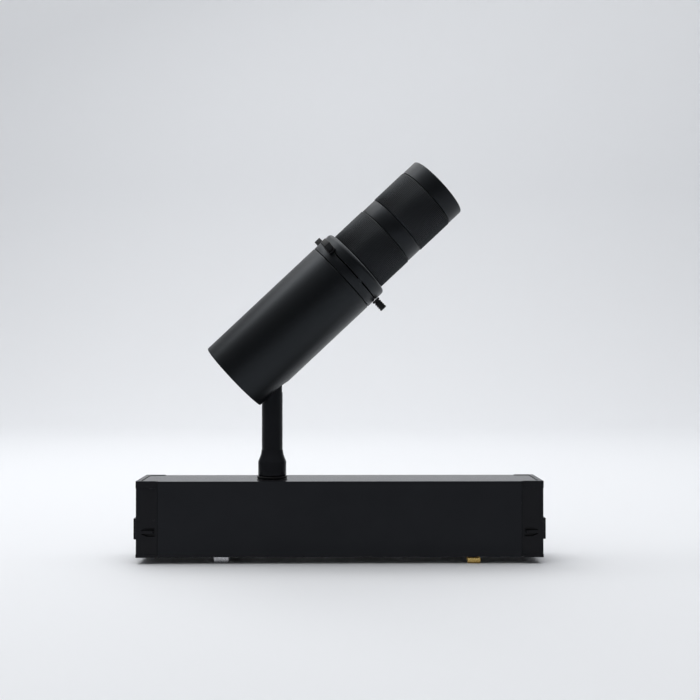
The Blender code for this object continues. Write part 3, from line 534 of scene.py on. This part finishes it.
BOX_HALF = 120.0
BOX_SIDE = 17.0
BOX_HEIGHT = 44.5
BOX_WALL = 1.6
CAP_LENGTH = 12.4
END_PLATE = 2.8
ROOF_HALF = 15.2
GAP = 0.3
FINGER_Z = 14.75
TAB_Z = 15.8
TAB_HALF = (11.6, 6.3)
TAB_PROUD = 2.5
TAB_FLANGE = 1.5
SEAM_WIDTH = 0.08
LIP_PROUD = 0.25
FINGER_CUT_CENTRE = 18.5
FINGER_CUT_THICK = 6.6
SWIVEL_HOLE_RADIUS = 5.4
SWIVEL_X = -41.0
COVER_THICK = 1.8
TRAY_LOW = (-78.3, -14.5, 1.0)
TRAY_HIGH = (-62.3, 14.5, 6.0)
COVER_POSTS = [(x, y) for x in (-22.0, 58.0) for y in (-11.0, 11.0)]
COVER_SCREWS = [(x, y) for x in (-94.0, -50.0, 40.0, 94.0) for y in (-9.0, 9.0)]


def box_extrusion():
    """The aluminium channel, with its roof running on over the end caps."""
    low, high = corners("driver_housing")
    seam = BOX_HALF - CAP_LENGTH - GAP
    shell = block("box_extrusion", low, high, WORLD, BOX_COAT)
    room = BOX_SIDE - BOX_WALL
    cutters = [
        block("cut_hollow", (low[0] - 1, -room, -1), (high[0] + 1, room, BOX_HEIGHT - BOX_WALL)),
        rod("cut_swivel", SWIVEL_HOLE_RADIUS, (SWIVEL_X, 0, BOX_HEIGHT - 5), (SWIVEL_X, 0, BOX_HEIGHT + 1)),
    ]
    for end in (-1, 1):
        xs = span(end, seam, BOX_HALF + 1)
        for face in (-1, 1):
            ys = span(face, ROOF_HALF, BOX_SIDE + 1)
            cutters.append(block("cut_step", (xs[0], ys[0], -1), (xs[1], ys[1], BOX_HEIGHT + 1)))
    carve(shell, cutters)
    piece(ease(shell, 0.14, 2), "driver_box", "black_coat", "driver_housing")


def finger_outline(side):
    """The U-shaped slot round a detent finger, seen square on to the side wall."""
    outer, taper, inner, free, near, far = 3.0, 3.5, 11.0, 10.1, 1.0, 2.6
    half_u = [(BOX_HALF - outer, near), (BOX_HALF - outer - taper, far), (BOX_HALF - inner, far)]
    outline = half_u + [(x, -z) for x, z in reversed(half_u)]
    outline += [(BOX_HALF - free, -near), (BOX_HALF - free, near)]
    return [(side * x, FINGER_Z + z) for x, z in outline]


def end_cap(side, label):
    """A moulded cap: rounded body, proud lips, detent fingers with their bumps, and the tab's window."""
    seam = BOX_HALF - CAP_LENGTH

    xs = span(side, seam - GAP + SEAM_WIDTH, BOX_HALF)
    high = (xs[1], BOX_SIDE, BOX_HEIGHT)
    cap = block(f"cap_{label}", (xs[0], -BOX_SIDE, 0), high, WORLD, CAP_MOULDING, 0.3)
    joined, cutters = [], []
    xs = span(side, seam + 0.6, BOX_HALF + 0.1)
    proud = BOX_SIDE + LIP_PROUD
    joined.append(block("lip_top", (xs[0], -proud, BOX_HEIGHT - 4.0), (xs[1], proud, BOX_HEIGHT + LIP_PROUD)))
    joined.append(block("lip_low", (xs[0], -proud, -LIP_PROUD), (xs[1], proud, 1.6)))
    xs = span(side, seam - 6.0, seam + 1)
    joined.append(block("plug", (xs[0], -15.1, 0.4), (xs[1], 15.1, BOX_HEIGHT - 2.2)))
    xs = span(side, seam - 7.0, BOX_HALF - 2.2)
    cutters.append(block("cut_room", (xs[0], -13.7, 2.2), (xs[1], 13.7, BOX_HEIGHT - 3.6)))
    xs = span(side, seam - 1, BOX_HALF - END_PLATE)
    wide = ROOF_HALF + GAP
    cutters.append(block("cut_roof", (xs[0], -wide, BOX_HEIGHT - 1.9), (xs[1], wide, BOX_HEIGHT + 1)))
    for face in (-1, 1):
        place = Matrix.Translation((0, face * FINGER_CUT_CENTRE, 0))
        facing = WORLD @ place @ Matrix.Rotation(math.radians(90), 4, "X")
        cutters.append(prism("cut_finger", finger_outline(side), FINGER_CUT_THICK, facing))
    wide, tall = TAB_HALF[0] + GAP, TAB_HALF[1] + GAP
    xs = span(side, BOX_HALF - 3.2, BOX_HALF + 1)
    cutters.append(block("cut_window", (xs[0], -wide, TAB_Z - tall), (xs[1], wide, TAB_Z + tall)))
    carve(cap, cutters, joined)
    bumps = []
    for face in (-1, 1):
        xs, ys = span(side, BOX_HALF - 10.0, BOX_HALF - 8.8), span(face, 16.5, 17.5)
        low, high = (xs[0], ys[0], FINGER_Z - 0.8), (xs[1], ys[1], FINGER_Z + 0.8)
        bumps.append(block("bump", low, high, WORLD, None, 0.2))
    carve(cap, (), bumps)
    piece(ease(cap, 0.12), "driver_box", "black_plastic", f"end_cap_{label}")


def release_tab(side, label):
    """The push tab: a ribbed face on a flange."""
    inside, outside = BOX_HALF - 2.5, BOX_HALF + TAB_PROUD

    wide, tall = TAB_HALF
    xs = span(side, inside - 1.0, outside)
    high = (xs[1], wide, TAB_Z + tall)
    tab = block(f"tab_{label}", (xs[0], -wide, TAB_Z - tall), high, WORLD, CAP_MOULDING, 0.5)
    xs = span(side, inside - 1.6, inside)
    low = (xs[0], -wide - TAB_FLANGE, TAB_Z - tall - TAB_FLANGE)
    flange = block("flange", low, (xs[1], wide + TAB_FLANGE, TAB_Z + tall + TAB_FLANGE))
    grooves = []
    for i in range(5):
        z = TAB_Z + (i - 2) * 2.0
        xs = span(side, outside - 0.4, outside + 1)
        grooves.append(block("groove", (xs[0], -wide + 1.6, z - 0.45), (xs[1], wide - 1.6, z + 0.45)))
    carve(tab, grooves, [flange])
    piece(ease(tab, 0.15), f"release_{label}", "black_plastic", f"release_tab_{label}")


def screw_head(name, x, y, z, direction, radius=2.2, matrix=WORLD, finish=STEEL):
    """A flat-topped screw head with a cross recess, its face looking along the given local Z sign."""
    low, high = sorted((z, z + direction * 1.0))
    head = rod(name, radius, (x, y, low), (x, y, high), matrix, finish, 48, 0.25)
    face = z + direction * 1.0
    arms = []
    for long, wide in ((radius * 0.62, 0.32), (0.32, radius * 0.62)):
        ends = sorted((face - direction * 0.7, face + direction * 0.5))
        arms.append(block("cross", (x - long, y - wide, ends[0]), (x + long, y + wide, ends[1]), matrix))
    return carve(head, arms)


def underside():
    """Cover plate with magnet pockets and contact slots, its screws, and the two magnets."""
    low, high = corners("base_cover")
    cover = block("cover_plate", low[:2] + [0.0], high[:2] + [COVER_THICK], WORLD, PLASTIC)
    joined = [block("tray", TRAY_LOW, TRAY_HIGH)]
    for x, y in COVER_POSTS:
        joined.append(rod("post", 2.0, (x, y, 1.0), (x, y, high[2]), WORLD, None, 32))
    cutters = []
    for label, face in (("front", -1), ("rear", 1)):
        magnet_low, magnet_high = corners(f"magnet_{label}")
        pocket_low = [c - GAP for c in magnet_low[:2]] + [-1]
        cutters.append(block("cut_pocket", pocket_low, [c + GAP for c in magnet_high]))
        contact_low, contact_high = corners(f"contact_{label}")
        ys = span(face, 12.2, 16.0)
        slot_high = (contact_high[0] + GAP, ys[1], 3)
        cutters.append(block("cut_slot", (contact_low[0] - GAP, ys[0], -1), slot_high))
        magnet = block(f"magnet_block_{label}", magnet_low, magnet_high, WORLD, NICKEL, 0.45, 4)
        piece(magnet, "driver_box", "nickel", f"magnet_{label}")
    for x, y in COVER_SCREWS:
        cutters.append(rod("cut_head", 2.5, (x, y, -1), (x, y, 1.0), WORLD, None, 48))
    carve(cover, cutters, joined)
    piece(ease(cover, 0.12), "driver_box", "black_plastic", "base_cover")
    for count, (x, y) in enumerate(COVER_SCREWS, start=1):
        piece(screw_head(f"cover_screw_{count}", x, y, 1.0, -1), "driver_box", "steel")


def contact_leaf(face, label):
    """A sprung brass leaf: down out of the box, round under the side wall and up to its tip."""
    inner_y, outer_y, thick = 12.5, 16.8, 0.8
    radius, middle = (outer_y - inner_y) / 2, (outer_y + inner_y) / 2
    bend_z = radius - 4.0
    low, high = corners(f"contact_{label}")
    outline = [(inner_y, high[2])] + arc(middle, bend_z, radius, 180, 360, 28)
    outline += [(outer_y, -0.7), (outer_y - thick, -0.7)]
    outline += arc(middle, bend_z, radius - thick, 360, 180, 28) + [(inner_y + thick, high[2])]
    outline = [(face * y, z) for y, z in outline]
    across = Matrix(((0, 0, 1), (1, 0, 0), (0, 1, 0))).to_4x4()
    across.translation = ((low[0] + high[0]) / 2, 0, 0)
    leaf = prism(f"contact_leaf_{label}", outline, high[0] - low[0], WORLD @ across, BRASS)
    piece(ease(leaf, 0.16, 3, 50.0), "driver_box", "brass", f"contact_{label}")


# ---------------------------------------------------------------- stem and tilt hinge

TILT_DROP = 17.0
PIN_RADIUS = 2.0
PIN_HALF = 5.8
PIN_BORE = 2.05
FORK_HALF = 2.3
FORK_DEPTH = 7.0
POST_BORE = 3.6
WIRE_EXIT = 2.2
WASHER_Y = 1.9


def swivel():
    """The ring under the collar, and the collar that narrows into the post, with its grub screw behind."""
    washer = ring_outline(9.1, 5.4, 0.3, 1.5)
    washer = turned("swivel_washer", washer, STEM, PLASTIC, 0.3)
    piece(washer, "driver_box", "black_plastic", "friction_washer")
    straight, top, bore = 10.1, 17.2, 6.35
    cone = [(bore + 0.12, top), (bore + 0.25, top - 1.2), (bore + 0.5, top - 2.6), (bore + 0.95, top - 4.0)]
    outline = cone + [
        (COLLAR_RADIUS - 0.12, straight + 0.35),
        (COLLAR_RADIUS, straight),
        (COLLAR_RADIUS, 2.3),
        (COLLAR_RADIUS - 0.35, 1.8),
        (5.1, 1.8),
        (5.1, -7.0),
        (3.2, -7.0),
        (3.2, 3.9),
        (bore, 3.9),
        (bore, top),
    ]
    collar = turned("collar", outline, STEM, BOX_COAT, 0)
    carve(collar, [rod("cut_grub", 1.3, (0, 6.0, 6.0), (0, 9.5, 6.0), STEM, None, 32)])
    piece(shade(collar, 24.0), "stem_arm", "black_coat", "swivel_collar")
    grub = rod("collar_grub", 1.2, (0, 6.4, 6.0), (0, 7.9, 6.0), STEM, STEEL, 32, 0.15)
    carve(grub, [rod("cut_key", 0.6, (0, 7.1, 6.0), (0, 8.5, 6.0), STEM, None, 6)])
    piece(grub, "stem_arm", "steel")


def post():
    """The hollow post, its domed top slit into a fork for the head's ear."""
    pivot = (JOINTS["head_tilt"]["pos_m"][2] - JOINTS["stem_pan"]["pos_m"][2]) / MM
    low, radius = 4.2, STEM_RADIUS
    dome = [(0, pivot + radius)] + list(reversed(arc(0, pivot, radius, 0, 84, 14)))
    stem = turned("post", dome + [(radius, low), (0, low)], STEM, STEM_COAT, 0)
    fork_floor = pivot - FORK_DEPTH
    bore_top = fork_floor - 3.0
    exit_z = bore_top - 2.5
    beyond = radius + 1
    carve(stem, [
        block("cut_fork", (-beyond, -FORK_HALF, fork_floor), (beyond, FORK_HALF, pivot + beyond), STEM),
        rod("cut_bore", POST_BORE, (0, 0, low - 1), (0, 0, bore_top), STEM),
        rod("cut_exit", WIRE_EXIT, (0, 0, exit_z), (0, beyond, exit_z), STEM),
        rod("cut_pin", PIN_BORE, (0, -beyond, pivot), (0, beyond, pivot), STEM),
    ])
    piece(shade(stem), "stem_arm", "black_coat", "stem")


def tilt_hardware():
    """The hinge pin and the two washers in the fork."""
    pivot_frame = HEAD @ Matrix.Translation((-TILT_DROP, 0, 0))
    ends = (0, -PIN_HALF, 0), (0, PIN_HALF, 0)
    pin = rod("hinge_pin", PIN_RADIUS, *ends, pivot_frame, STEEL, SMALL_STEPS, 0.3)
    piece(pin, "head", "steel", "tilt_pin")
    for label, side in (("front", 1), ("rear", -1)):
        place = Matrix.Translation((0, side * WASHER_Y, 0))
        washer_frame = pivot_frame @ place @ Matrix.Rotation(math.pi / 2, 4, "X")
        outline = ring_outline(4.4, PIN_BORE, -0.3, 0.3)
        washer = turned(f"hinge_washer_{label}", outline, washer_frame, WHITE, 0.1, SMALL_STEPS)
        piece(washer, "head", "white_plastic", f"tilt_washer_{label}")


# ---------------------------------------------------------------- head

EMITTER_STATION = 15.0
ELLIPSE_HALF = 36.0
BRIDGE_HALF = 1.5
# Depth of the band on the cover's front fillet that carries the painted glint.
GLINT_WIDTH = 0.4
BLADE_THICK = 0.12
BLADE_PITCH = 0.19
BLADE_CLEARANCE = 0.06
REAR_SCREWS_Y = (-15.5, 15.5)


def housing():
    """The smooth tube, with its rounded rear edge and the slot that the post swings in."""
    outline = [
        (HOUSING_RADIUS, HOUSING_FRONT),
        (HOUSING_RADIUS, REAR_STATION),
        (HOUSING_INNER, REAR_STATION),
        (HOUSING_INNER, HOUSING_FRONT),
    ]
    tube = turned("tube_shell", soften(outline, 0.7, True, 4), HEAD, COAT, 0)
    reach = HOUSING_RADIUS + 1
    cutters = [
        block("cut_slot", (-reach, -SLOT_HALF, REAR_STATION - 1), (NOTCH_TOP, SLOT_HALF, 0), HEAD),
        rod("cut_slot_end", SLOT_HALF, (-reach, 0, 0), (NOTCH_TOP, 0, 0), HEAD),
    ]
    carve(tube, cutters)
    piece(shade(tube), "head", "black_coat", "housing_tube")


def rear_plate():
    """The closing disc: notch for the post, air slots with round ends and two screws."""
    low = REAR_STATION + 0.2
    high = low + 2.0
    radius = HOUSING_INNER - GAP
    plate = turned("rear_disc", [(0, high), (radius, high), (radius, low), (0, low)], HEAD, COAT, 0.3)
    notch_low = (-HOUSING_RADIUS, -SLOT_HALF, low - 1)
    cutters = [block("cut_notch", notch_low, (NOTCH_TOP, SLOT_HALF, high + 1), HEAD)]
    for x in (-2.0, 4.0, 10.0):
        middle, half = x + 0.9, 0.9
        outline = arc(middle, 9.0 - half, half, 0, 180, 8) + arc(middle, half - 9.0, half, 180, 360, 8)
        slot_frame = HEAD @ Matrix.Translation((0, 0, (low + high) / 2))
        cutters.append(prism("cut_vent", outline, 6.0, slot_frame))
    for y in REAR_SCREWS_Y:
        cutters.append(rod("cut_head", 2.3, (2.0, y, low - 1), (2.0, y, low + 1.1), HEAD, None, 48))
    carve(plate, cutters)
    piece(shade(plate), "head", "black_coat", "rear_cap")
    for i, y in enumerate(REAR_SCREWS_Y, start=1):
        screw = screw_head(f"rear_screw_{i}", 2.0, y, low + 1.1, -1, 2.0, HEAD, DARK_STEEL)
        piece(screw, "head", "steel")


def light_engine():
    """Emitter, holder, ellipsoidal reflector and condenser: seen down the barrel and when opened."""
    top, base = EMITTER_STATION, EMITTER_STATION - 0.9
    disc = [(0, top), (7, top), (7, base), (0, base)]
    emitter = turned("emitter_disc", disc, HEAD, PHOSPHOR, 0.2, SMALL_STEPS)
    piece(emitter, "head", "phosphor", "led_emitter")
    holder = turned("emitter_holder", ring_outline(17.0, 8.0, 14.1, 18.0), HEAD, WHITE, 0.4)
    piece(holder, "head", "white_plastic", "led_holder")
    gate = (GATE_RING_FRONT + COVER_REAR) / 2
    middle, focus = (EMITTER_STATION + gate) / 2, (gate - EMITTER_STATION) / 2
    radius = math.sqrt(ELLIPSE_HALF**2 - focus**2)
    stations = [18.3 + (middle - 18.3) * i / 24 for i in range(25)]
    inside = [(radius * math.sqrt(1 - ((z - middle) / ELLIPSE_HALF) ** 2), z) for z in stations]
    outside = [(r + 1.0, z) for r, z in reversed(inside[:-1])]
    rim = HOUSING_INNER - GAP
    outline = [(rim, middle), (rim, middle - 1.2), (radius + 1.0, middle - 1.2)] + outside + inside
    piece(turned("ellipsoid_shell", outline, HEAD, MIRROR, 0), "head", "mirror", "reflector")
    holder = [(rim, 60.5), (rim, 50.5), (16.0, 50.5), (16.0, 52.5), (18.8, 52.5), (18.8, 60.5)]
    piece(turned("condenser_cell", holder, HEAD, PLASTIC, 0.3), "head", "black_plastic", "condenser_holder")
    lens = turned("condenser_glass", lens_outline(18.5, 52.8, 2.5, 4.0), HEAD, GLASS, 0)
    piece(lens, "head", "glass", "condenser_lens")


def lens_outline(radius, low, edge, bulge, steps=20):
    """Plano-convex lens: bulging front, ground edge with a small chamfer, flat back."""
    top = low + edge + bulge
    sphere = (radius**2 + bulge**2) / (2 * bulge)
    outline = []
    for i in range(steps + 1):
        r = radius * i / steps
        outline.append((r, top - sphere + math.sqrt(sphere**2 - r**2)))
    return outline + [(radius, low + 0.25), (radius - 0.25, low), (0, low)]


def gate():
    """Gate ring, aperture plate and the rounded cover, with the bridges that leave four blade slots."""
    spigot = HOUSING_INNER - GAP
    seam = HOUSING_FRONT + GAP
    outline = [
        (HOUSING_RADIUS, GATE_RING_FRONT),
        (HOUSING_RADIUS, seam),
        (spigot, seam),
        (spigot, 66.0),
        (20.0, 66.0),
        (20.0, seam),
        (17.5, seam),
        (17.5, 77.1),
        (20.2, 77.1),
        (20.2, GATE_RING_FRONT - 0.1),
        (20.6, GATE_RING_FRONT - 0.1),
        (20.6, 75.6),
        (22.6, 75.6),
        (22.6, GATE_RING_FRONT),
    ]
    piece(turned("gate_band", outline, HEAD, COAT, 0.18), "head", "black_coat", "gate_ring")
    plate = turned("gate_aperture", ring_outline(20.0, 10.5, 77.4, 78.5), HEAD, DARK_STEEL, 0.12)
    piece(plate, "head", "black_steel", "aperture_plate")
    curve_r, curve_z = COVER_RADIUS - COVER_FILLET, COVER_FRONT - COVER_FILLET
    fillet = list(reversed(arc(curve_r, curve_z, COVER_FILLET, 0, 90, 12)))
    outline = fillet + [
        (COVER_RADIUS, COVER_REAR + 0.15),
        (COVER_RADIUS - 0.15, COVER_REAR),
        (15.0, COVER_REAR),
        (15.0, COVER_REAR + 1.2),
        (RING_BORE, COVER_REAR + 1.2),
        (RING_BORE, COVER_FRONT - 0.2),
        (RING_BORE + 0.2, COVER_FRONT),
    ]
    cover = turned("gate_shell", outline, HEAD, COAT, 0)
    bridges = []
    for centre in SECTOR_CENTRES:
        bridge_frame = HEAD @ Matrix.Rotation(math.radians(centre + 45), 4, "Z")
        low = (22.75, -BRIDGE_HALF, GATE_RING_FRONT + 0.05)
        high = (COVER_RADIUS - 0.3, BRIDGE_HALF, COVER_REAR + 0.5)
        bridges.append(block("bridge", low, high, bridge_frame))
    carve(cover, (), bridges)
    # Faces on the outer front fillet get the bright coat: a painted glint along the cover's front edge.
    cover.data.materials.append(GLINT_COAT)
    to_local = HEAD.inverted()
    for face in cover.data.polygons:
        x, y, z = to_local @ face.center
        if z > COVER_FRONT - GLINT_WIDTH and math.hypot(x, y) > COVER_RADIUS - COVER_FILLET:
            face.material_index = len(cover.data.materials) - 1
    piece(shade(cover), "head", "black_coat", "gate_cover")


def shutter_handle(number, angle):
    """A moulded grip: a flange, a narrow waist and a block with ribs across its broad faces."""
    handle_frame = HEAD @ Matrix.Rotation(math.radians(angle), 4, "Z")
    long, wide, tall = HANDLE_SIZE
    centre = (GATE_RING_FRONT + COVER_REAR) / 2

    def slab(label, near, far, side, rise, rounding=0.0, finish=None):
        low = (HANDLE_START + near, -wide / 2 - side, centre - tall / 2 - rise)
        high = (HANDLE_START + far, wide / 2 + side, centre + tall / 2 + rise)
        return block(label, low, high, handle_frame, finish, rounding, 4)

    grip = slab(f"grip_{number}", 1.7, long, 0.0, 0.0, 0.45, HANDLE_PLASTIC)
    joined = [slab("waist", 0.9, 2.2, -0.7, -0.6), slab("flange", 0.0, 1.15, 0.3, 0.2, 0.2)]
    cutters = []
    for i in range(3):
        x = HANDLE_START + long - 1.5 - i * 1.4
        for face in (-1, 1):
            z = centre + face * tall / 2
            cutters.append(rod("cut_rib", 0.35, (x, -wide, z), (x, wide, z), handle_frame, None, 16))
    blade = GATE_RING_FRONT + BLADE_CLEARANCE + (number - 1) * BLADE_PITCH
    slit = BLADE_CLEARANCE
    slit_low = (HANDLE_START - 1, -2.0 - slit, blade - slit)
    slit_high = (HANDLE_START + 5.0 + slit, 2.0 + slit, blade + BLADE_THICK + slit)
    cutters.append(block("cut_slit", slit_low, slit_high, handle_frame))
    carve(grip, cutters, joined)
    piece(shade(grip), f"shutter_{number}", "black_plastic", f"shutter_handle_{number}")


# ---------------------------------------------------------------- lens barrel

def knurled_ring(name, body, node, stations):
    """A control ring with fine straight knurling between chamfered ends."""
    low, high = stations
    chamfer = KNURL_DEPTH + 0.15
    outline = [
        (KNURL_RADIUS - chamfer, high),
        (KNURL_RADIUS, high - chamfer),
        (KNURL_RADIUS, low + chamfer),
        (KNURL_RADIUS - chamfer, low),
        (RING_BORE + 0.2, low),
        (RING_BORE, low + 0.2),
        (RING_BORE, high - 0.2),
        (RING_BORE + 0.2, high),
    ]

    def tooth(radius, _height, angle):
        phase = (angle * KNURL_TEETH / (2 * math.pi)) % 1.0
        valley = 1 - abs(2 * phase - 1)
        return min(radius, KNURL_RADIUS - KNURL_DEPTH * valley)

    ring = turned(name, outline, HEAD, RING_COAT, 0, KNURL_TEETH * 4, tooth)
    piece(ring, body, "black_coat", node)


def lens_cell(label, centre, bore):
    """The sliding cell: blackened ring with its retaining ring, cam pin and lens."""
    outer, half = BARREL_BORE - 0.3, 4.5
    low, high = centre - half, centre + half
    ledge = bore - 1.4
    outline = [(outer, high), (outer, low), (ledge, low), (ledge, low + 1), (bore, low + 1), (bore, high)]
    cell = turned(f"{label}_cell_ring", outline, HEAD, DARK_STEEL, 0.15)
    pin = rod("cam_pin", 1.2, (0, (bore + outer) / 2, centre), (0, 19.0, centre), HEAD, None, 32, 0.2)
    carve(cell, (), [pin])
    piece(shade(cell), f"{label}_cell", "black_steel", f"{label}_carrier")
    glass = turned(f"{label}_glass", lens_outline(bore - GAP, low + 1 + GAP, 2.4, 3.6), HEAD, GLASS, 0)
    piece(glass, f"{label}_cell", "glass", f"{label}_lens")


def fixed_barrel():
    """The inner barrel with its two pin slots, and the plain band between the control rings."""
    low, high = COVER_REAR + 1.5, BEZEL_STATIONS[0] + 4.0
    barrel = turned("barrel_tube", ring_outline(BARREL_RADIUS, BARREL_BORE, low, high), HEAD, DARK_STEEL, 0.2)
    cutters = []
    for centre, half in ((FOCUS_CENTRE, 6.5), (ZOOM_CENTRE, 7.5)):
        cutters.append(block("cut_pin_slot", (-1.4, 14.0, centre - half), (1.4, 19.0, centre + half), HEAD))
    carve(barrel, cutters)
    piece(shade(barrel), "head", "black_steel", "inner_barrel")
    band = turned("smooth_band", ring_outline(BAND_RADIUS, RING_BORE, *BAND_STATIONS), HEAD, RING_COAT, 0.3)
    piece(band, "head", "black_coat", "barrel_band")


def bezel():
    """The front ring: rounded rim and a stepped, glare-killing mouth."""
    back, front = BEZEL_STATIONS
    rim = list(reversed(arc(BEZEL_RADIUS - 1.0, front - 1.0, 1.0, 0, 90, 8)))
    outline = rim + [(BEZEL_RADIUS, back + 0.2), (BEZEL_RADIUS - 0.2, back), (RING_BORE, back)]
    outline += [(RING_BORE, back + 4.3), (17.0, back + 4.3)]
    steps = 6
    pitch = (front - 0.8 - (back + 4.6)) / steps
    for i in range(steps):
        z = back + 4.6 + i * pitch
        outline += [(17.0, z), (17.3, z + pitch * 0.3), (17.3, z + pitch * 0.7)]
    outline += [(17.0, front - 0.8), (17.5, front - 0.15), (17.65, front)]
    piece(turned("front_ring", outline, HEAD, RING_COAT, 0), "head", "black_coat", "front_bezel")


# ---------------------------------------------------------------- setting

FLOOR_Z = -0.004
CAMERA_PLACE = (0.0, -0.624, 0.1168)
CAMERA_LENS = 52.97
CAMERA_PITCH = 0.478
CAMERA_YAW = -0.556
CAMERA_SENSOR = 36.0


def plain_surface(name, colour, rough):
    """One even colour, for the setting."""
    finish = Finish(name, Specular_IOR_Level=0.3)
    finish.colour(colour)
    finish.shader.inputs["Roughness"].default_value = rough
    return finish.made


def setting():
    """A pale sweep: floor, bend and back wall in one sheet."""
    bm = bmesh.new()
    bend, back, wide, front, top = 0.5, 1.6, 3.0, -2.2, 2.6
    profile = [(front, 0.0), (back - bend, 0.0)]
    angles = [math.radians(90 * i / 24) for i in range(1, 25)]
    profile += [(back - bend + bend * math.sin(a), bend - bend * math.cos(a)) for a in angles]
    profile.append((back, top))
    rows = [[bm.verts.new((x, y, z + FLOOR_Z)) for x in (-wide, wide)] for y, z in profile]
    for one, two in zip(rows, rows[1:]):
        bm.faces.new((one[0], one[1], two[1], two[0]))
    finish = plain_surface("pale_sweep", (0.80, 0.812, 0.832), 0.75)
    sweep = link_mesh("sweep", bm, Matrix.Identity(4), finish)
    sweep.data.shade_smooth()


def area_light(name, place, target, size, power, colour=(1.0, 1.0, 1.0)):
    """A rectangular light that faces its target."""
    data = bpy.data.lights.new(name, "AREA")
    data.shape = "RECTANGLE"
    data.size, data.size_y = size
    data.energy = power
    data.color = colour
    made = bpy.data.objects.new(name, data)
    bpy.context.scene.collection.objects.link(made)
    made.location = place
    made.rotation_mode = "QUATERNION"
    made.rotation_quaternion = (Vector(target) - Vector(place)).to_track_quat("-Z", "Y")


def lighting():
    """Two softboxes overhead, a wash on the back wall, and a world that darkens towards the horizon."""
    area_light("rear_softbox", (-0.35, 0.30, 1.20), (0, 0.05, 0.1), (1.5, 1.0), 8.6)
    area_light("front_softbox", (0.25, -0.55, 1.45), (0, 0.0, 0.0), (1.6, 0.9), 2.9)
    area_light("backdrop_wash", (0.0, 0.2, 1.9), (0.0, 1.6, 0.6), (5.5, 0.8), 33.5, (0.985, 0.99, 1.0))
    world = bpy.data.worlds.new("soft_room")
    bpy.context.scene.world = world
    world.use_nodes = True
    nodes, links = world.node_tree.nodes, world.node_tree.links
    axes = nodes.new("ShaderNodeSeparateXYZ")
    links.new(nodes.new("ShaderNodeTexCoord").outputs["Generated"], axes.inputs[0])
    height = nodes.new("ShaderNodeMapRange")
    height.interpolation_type = "SMOOTHSTEP"
    height.inputs["From Min"].default_value = 0.15
    height.inputs["To Min"].default_value = 0.06
    height.inputs["To Max"].default_value = 0.45
    links.new(axes.outputs["Z"], height.inputs["Value"])
    background = nodes["Background"]
    background.inputs["Color"].default_value = (0.96, 0.975, 1.0, 1.0)
    links.new(height.outputs["Result"], background.inputs["Strength"])
    bpy.context.scene.view_settings.view_transform = "Standard"


def camera():
    """The front camera, placed and turned by the constants above."""
    data = bpy.data.cameras.new("camera")
    data.lens = CAMERA_LENS
    data.sensor_width = CAMERA_SENSOR
    data.clip_start = 0.01
    made = bpy.data.objects.new("camera", data)
    bpy.context.scene.collection.objects.link(made)
    made.location = CAMERA_PLACE
    made.rotation_euler = (math.radians(90 + CAMERA_PITCH), 0, math.radians(CAMERA_YAW))
    bpy.context.scene.camera = made


# ---------------------------------------------------------------- assembly

box_extrusion()
for side, label in ((-1, "left"), (1, "right")):
    end_cap(side, label)
    release_tab(side, label)
underside()
for face, label in ((-1, "front"), (1, "rear")):
    contact_leaf(face, label)
swivel()
post()
tilt_hardware()
housing()
rear_plate()
light_engine()
gate()
for number, angle in enumerate(SHUTTER_ANGLES, start=1):
    shutter_handle(number, angle)
fixed_barrel()
knurled_ring("focus_grip", "focus_control", "focus_ring", FOCUS_STATIONS)
knurled_ring("zoom_grip", "zoom_control", "zoom_ring", ZOOM_STATIONS)
bezel()
lens_cell("focus", FOCUS_CENTRE, 12.5)
lens_cell("zoom", ZOOM_CENTRE, 13.6)

restyle([
    (BOARD, ["driver_board"]),
    (TAPE, ["transformer"]),
    (COPPER, ["choke"]),
    (PLASTIC, ["capacitor"]),
    (WHITE, ["contact_block", "led_board"]),
    (STEEL, ["lock_nut", "tab_spring_left", "tab_spring_right"]),
    (STEEL, ["tilt_bracket", "bracket_screw_1", "bracket_screw_2"]),
    (ALUMINIUM, ["heatsink"]),
    (BRASS, [f"shutter_shoe_{n}" for n in (1, 2, 3, 4)]),
    (DARK_STEEL, [f"shutter_blade_{n}" for n in (1, 2, 3, 4)]),
])

setting()
lighting()
camera()
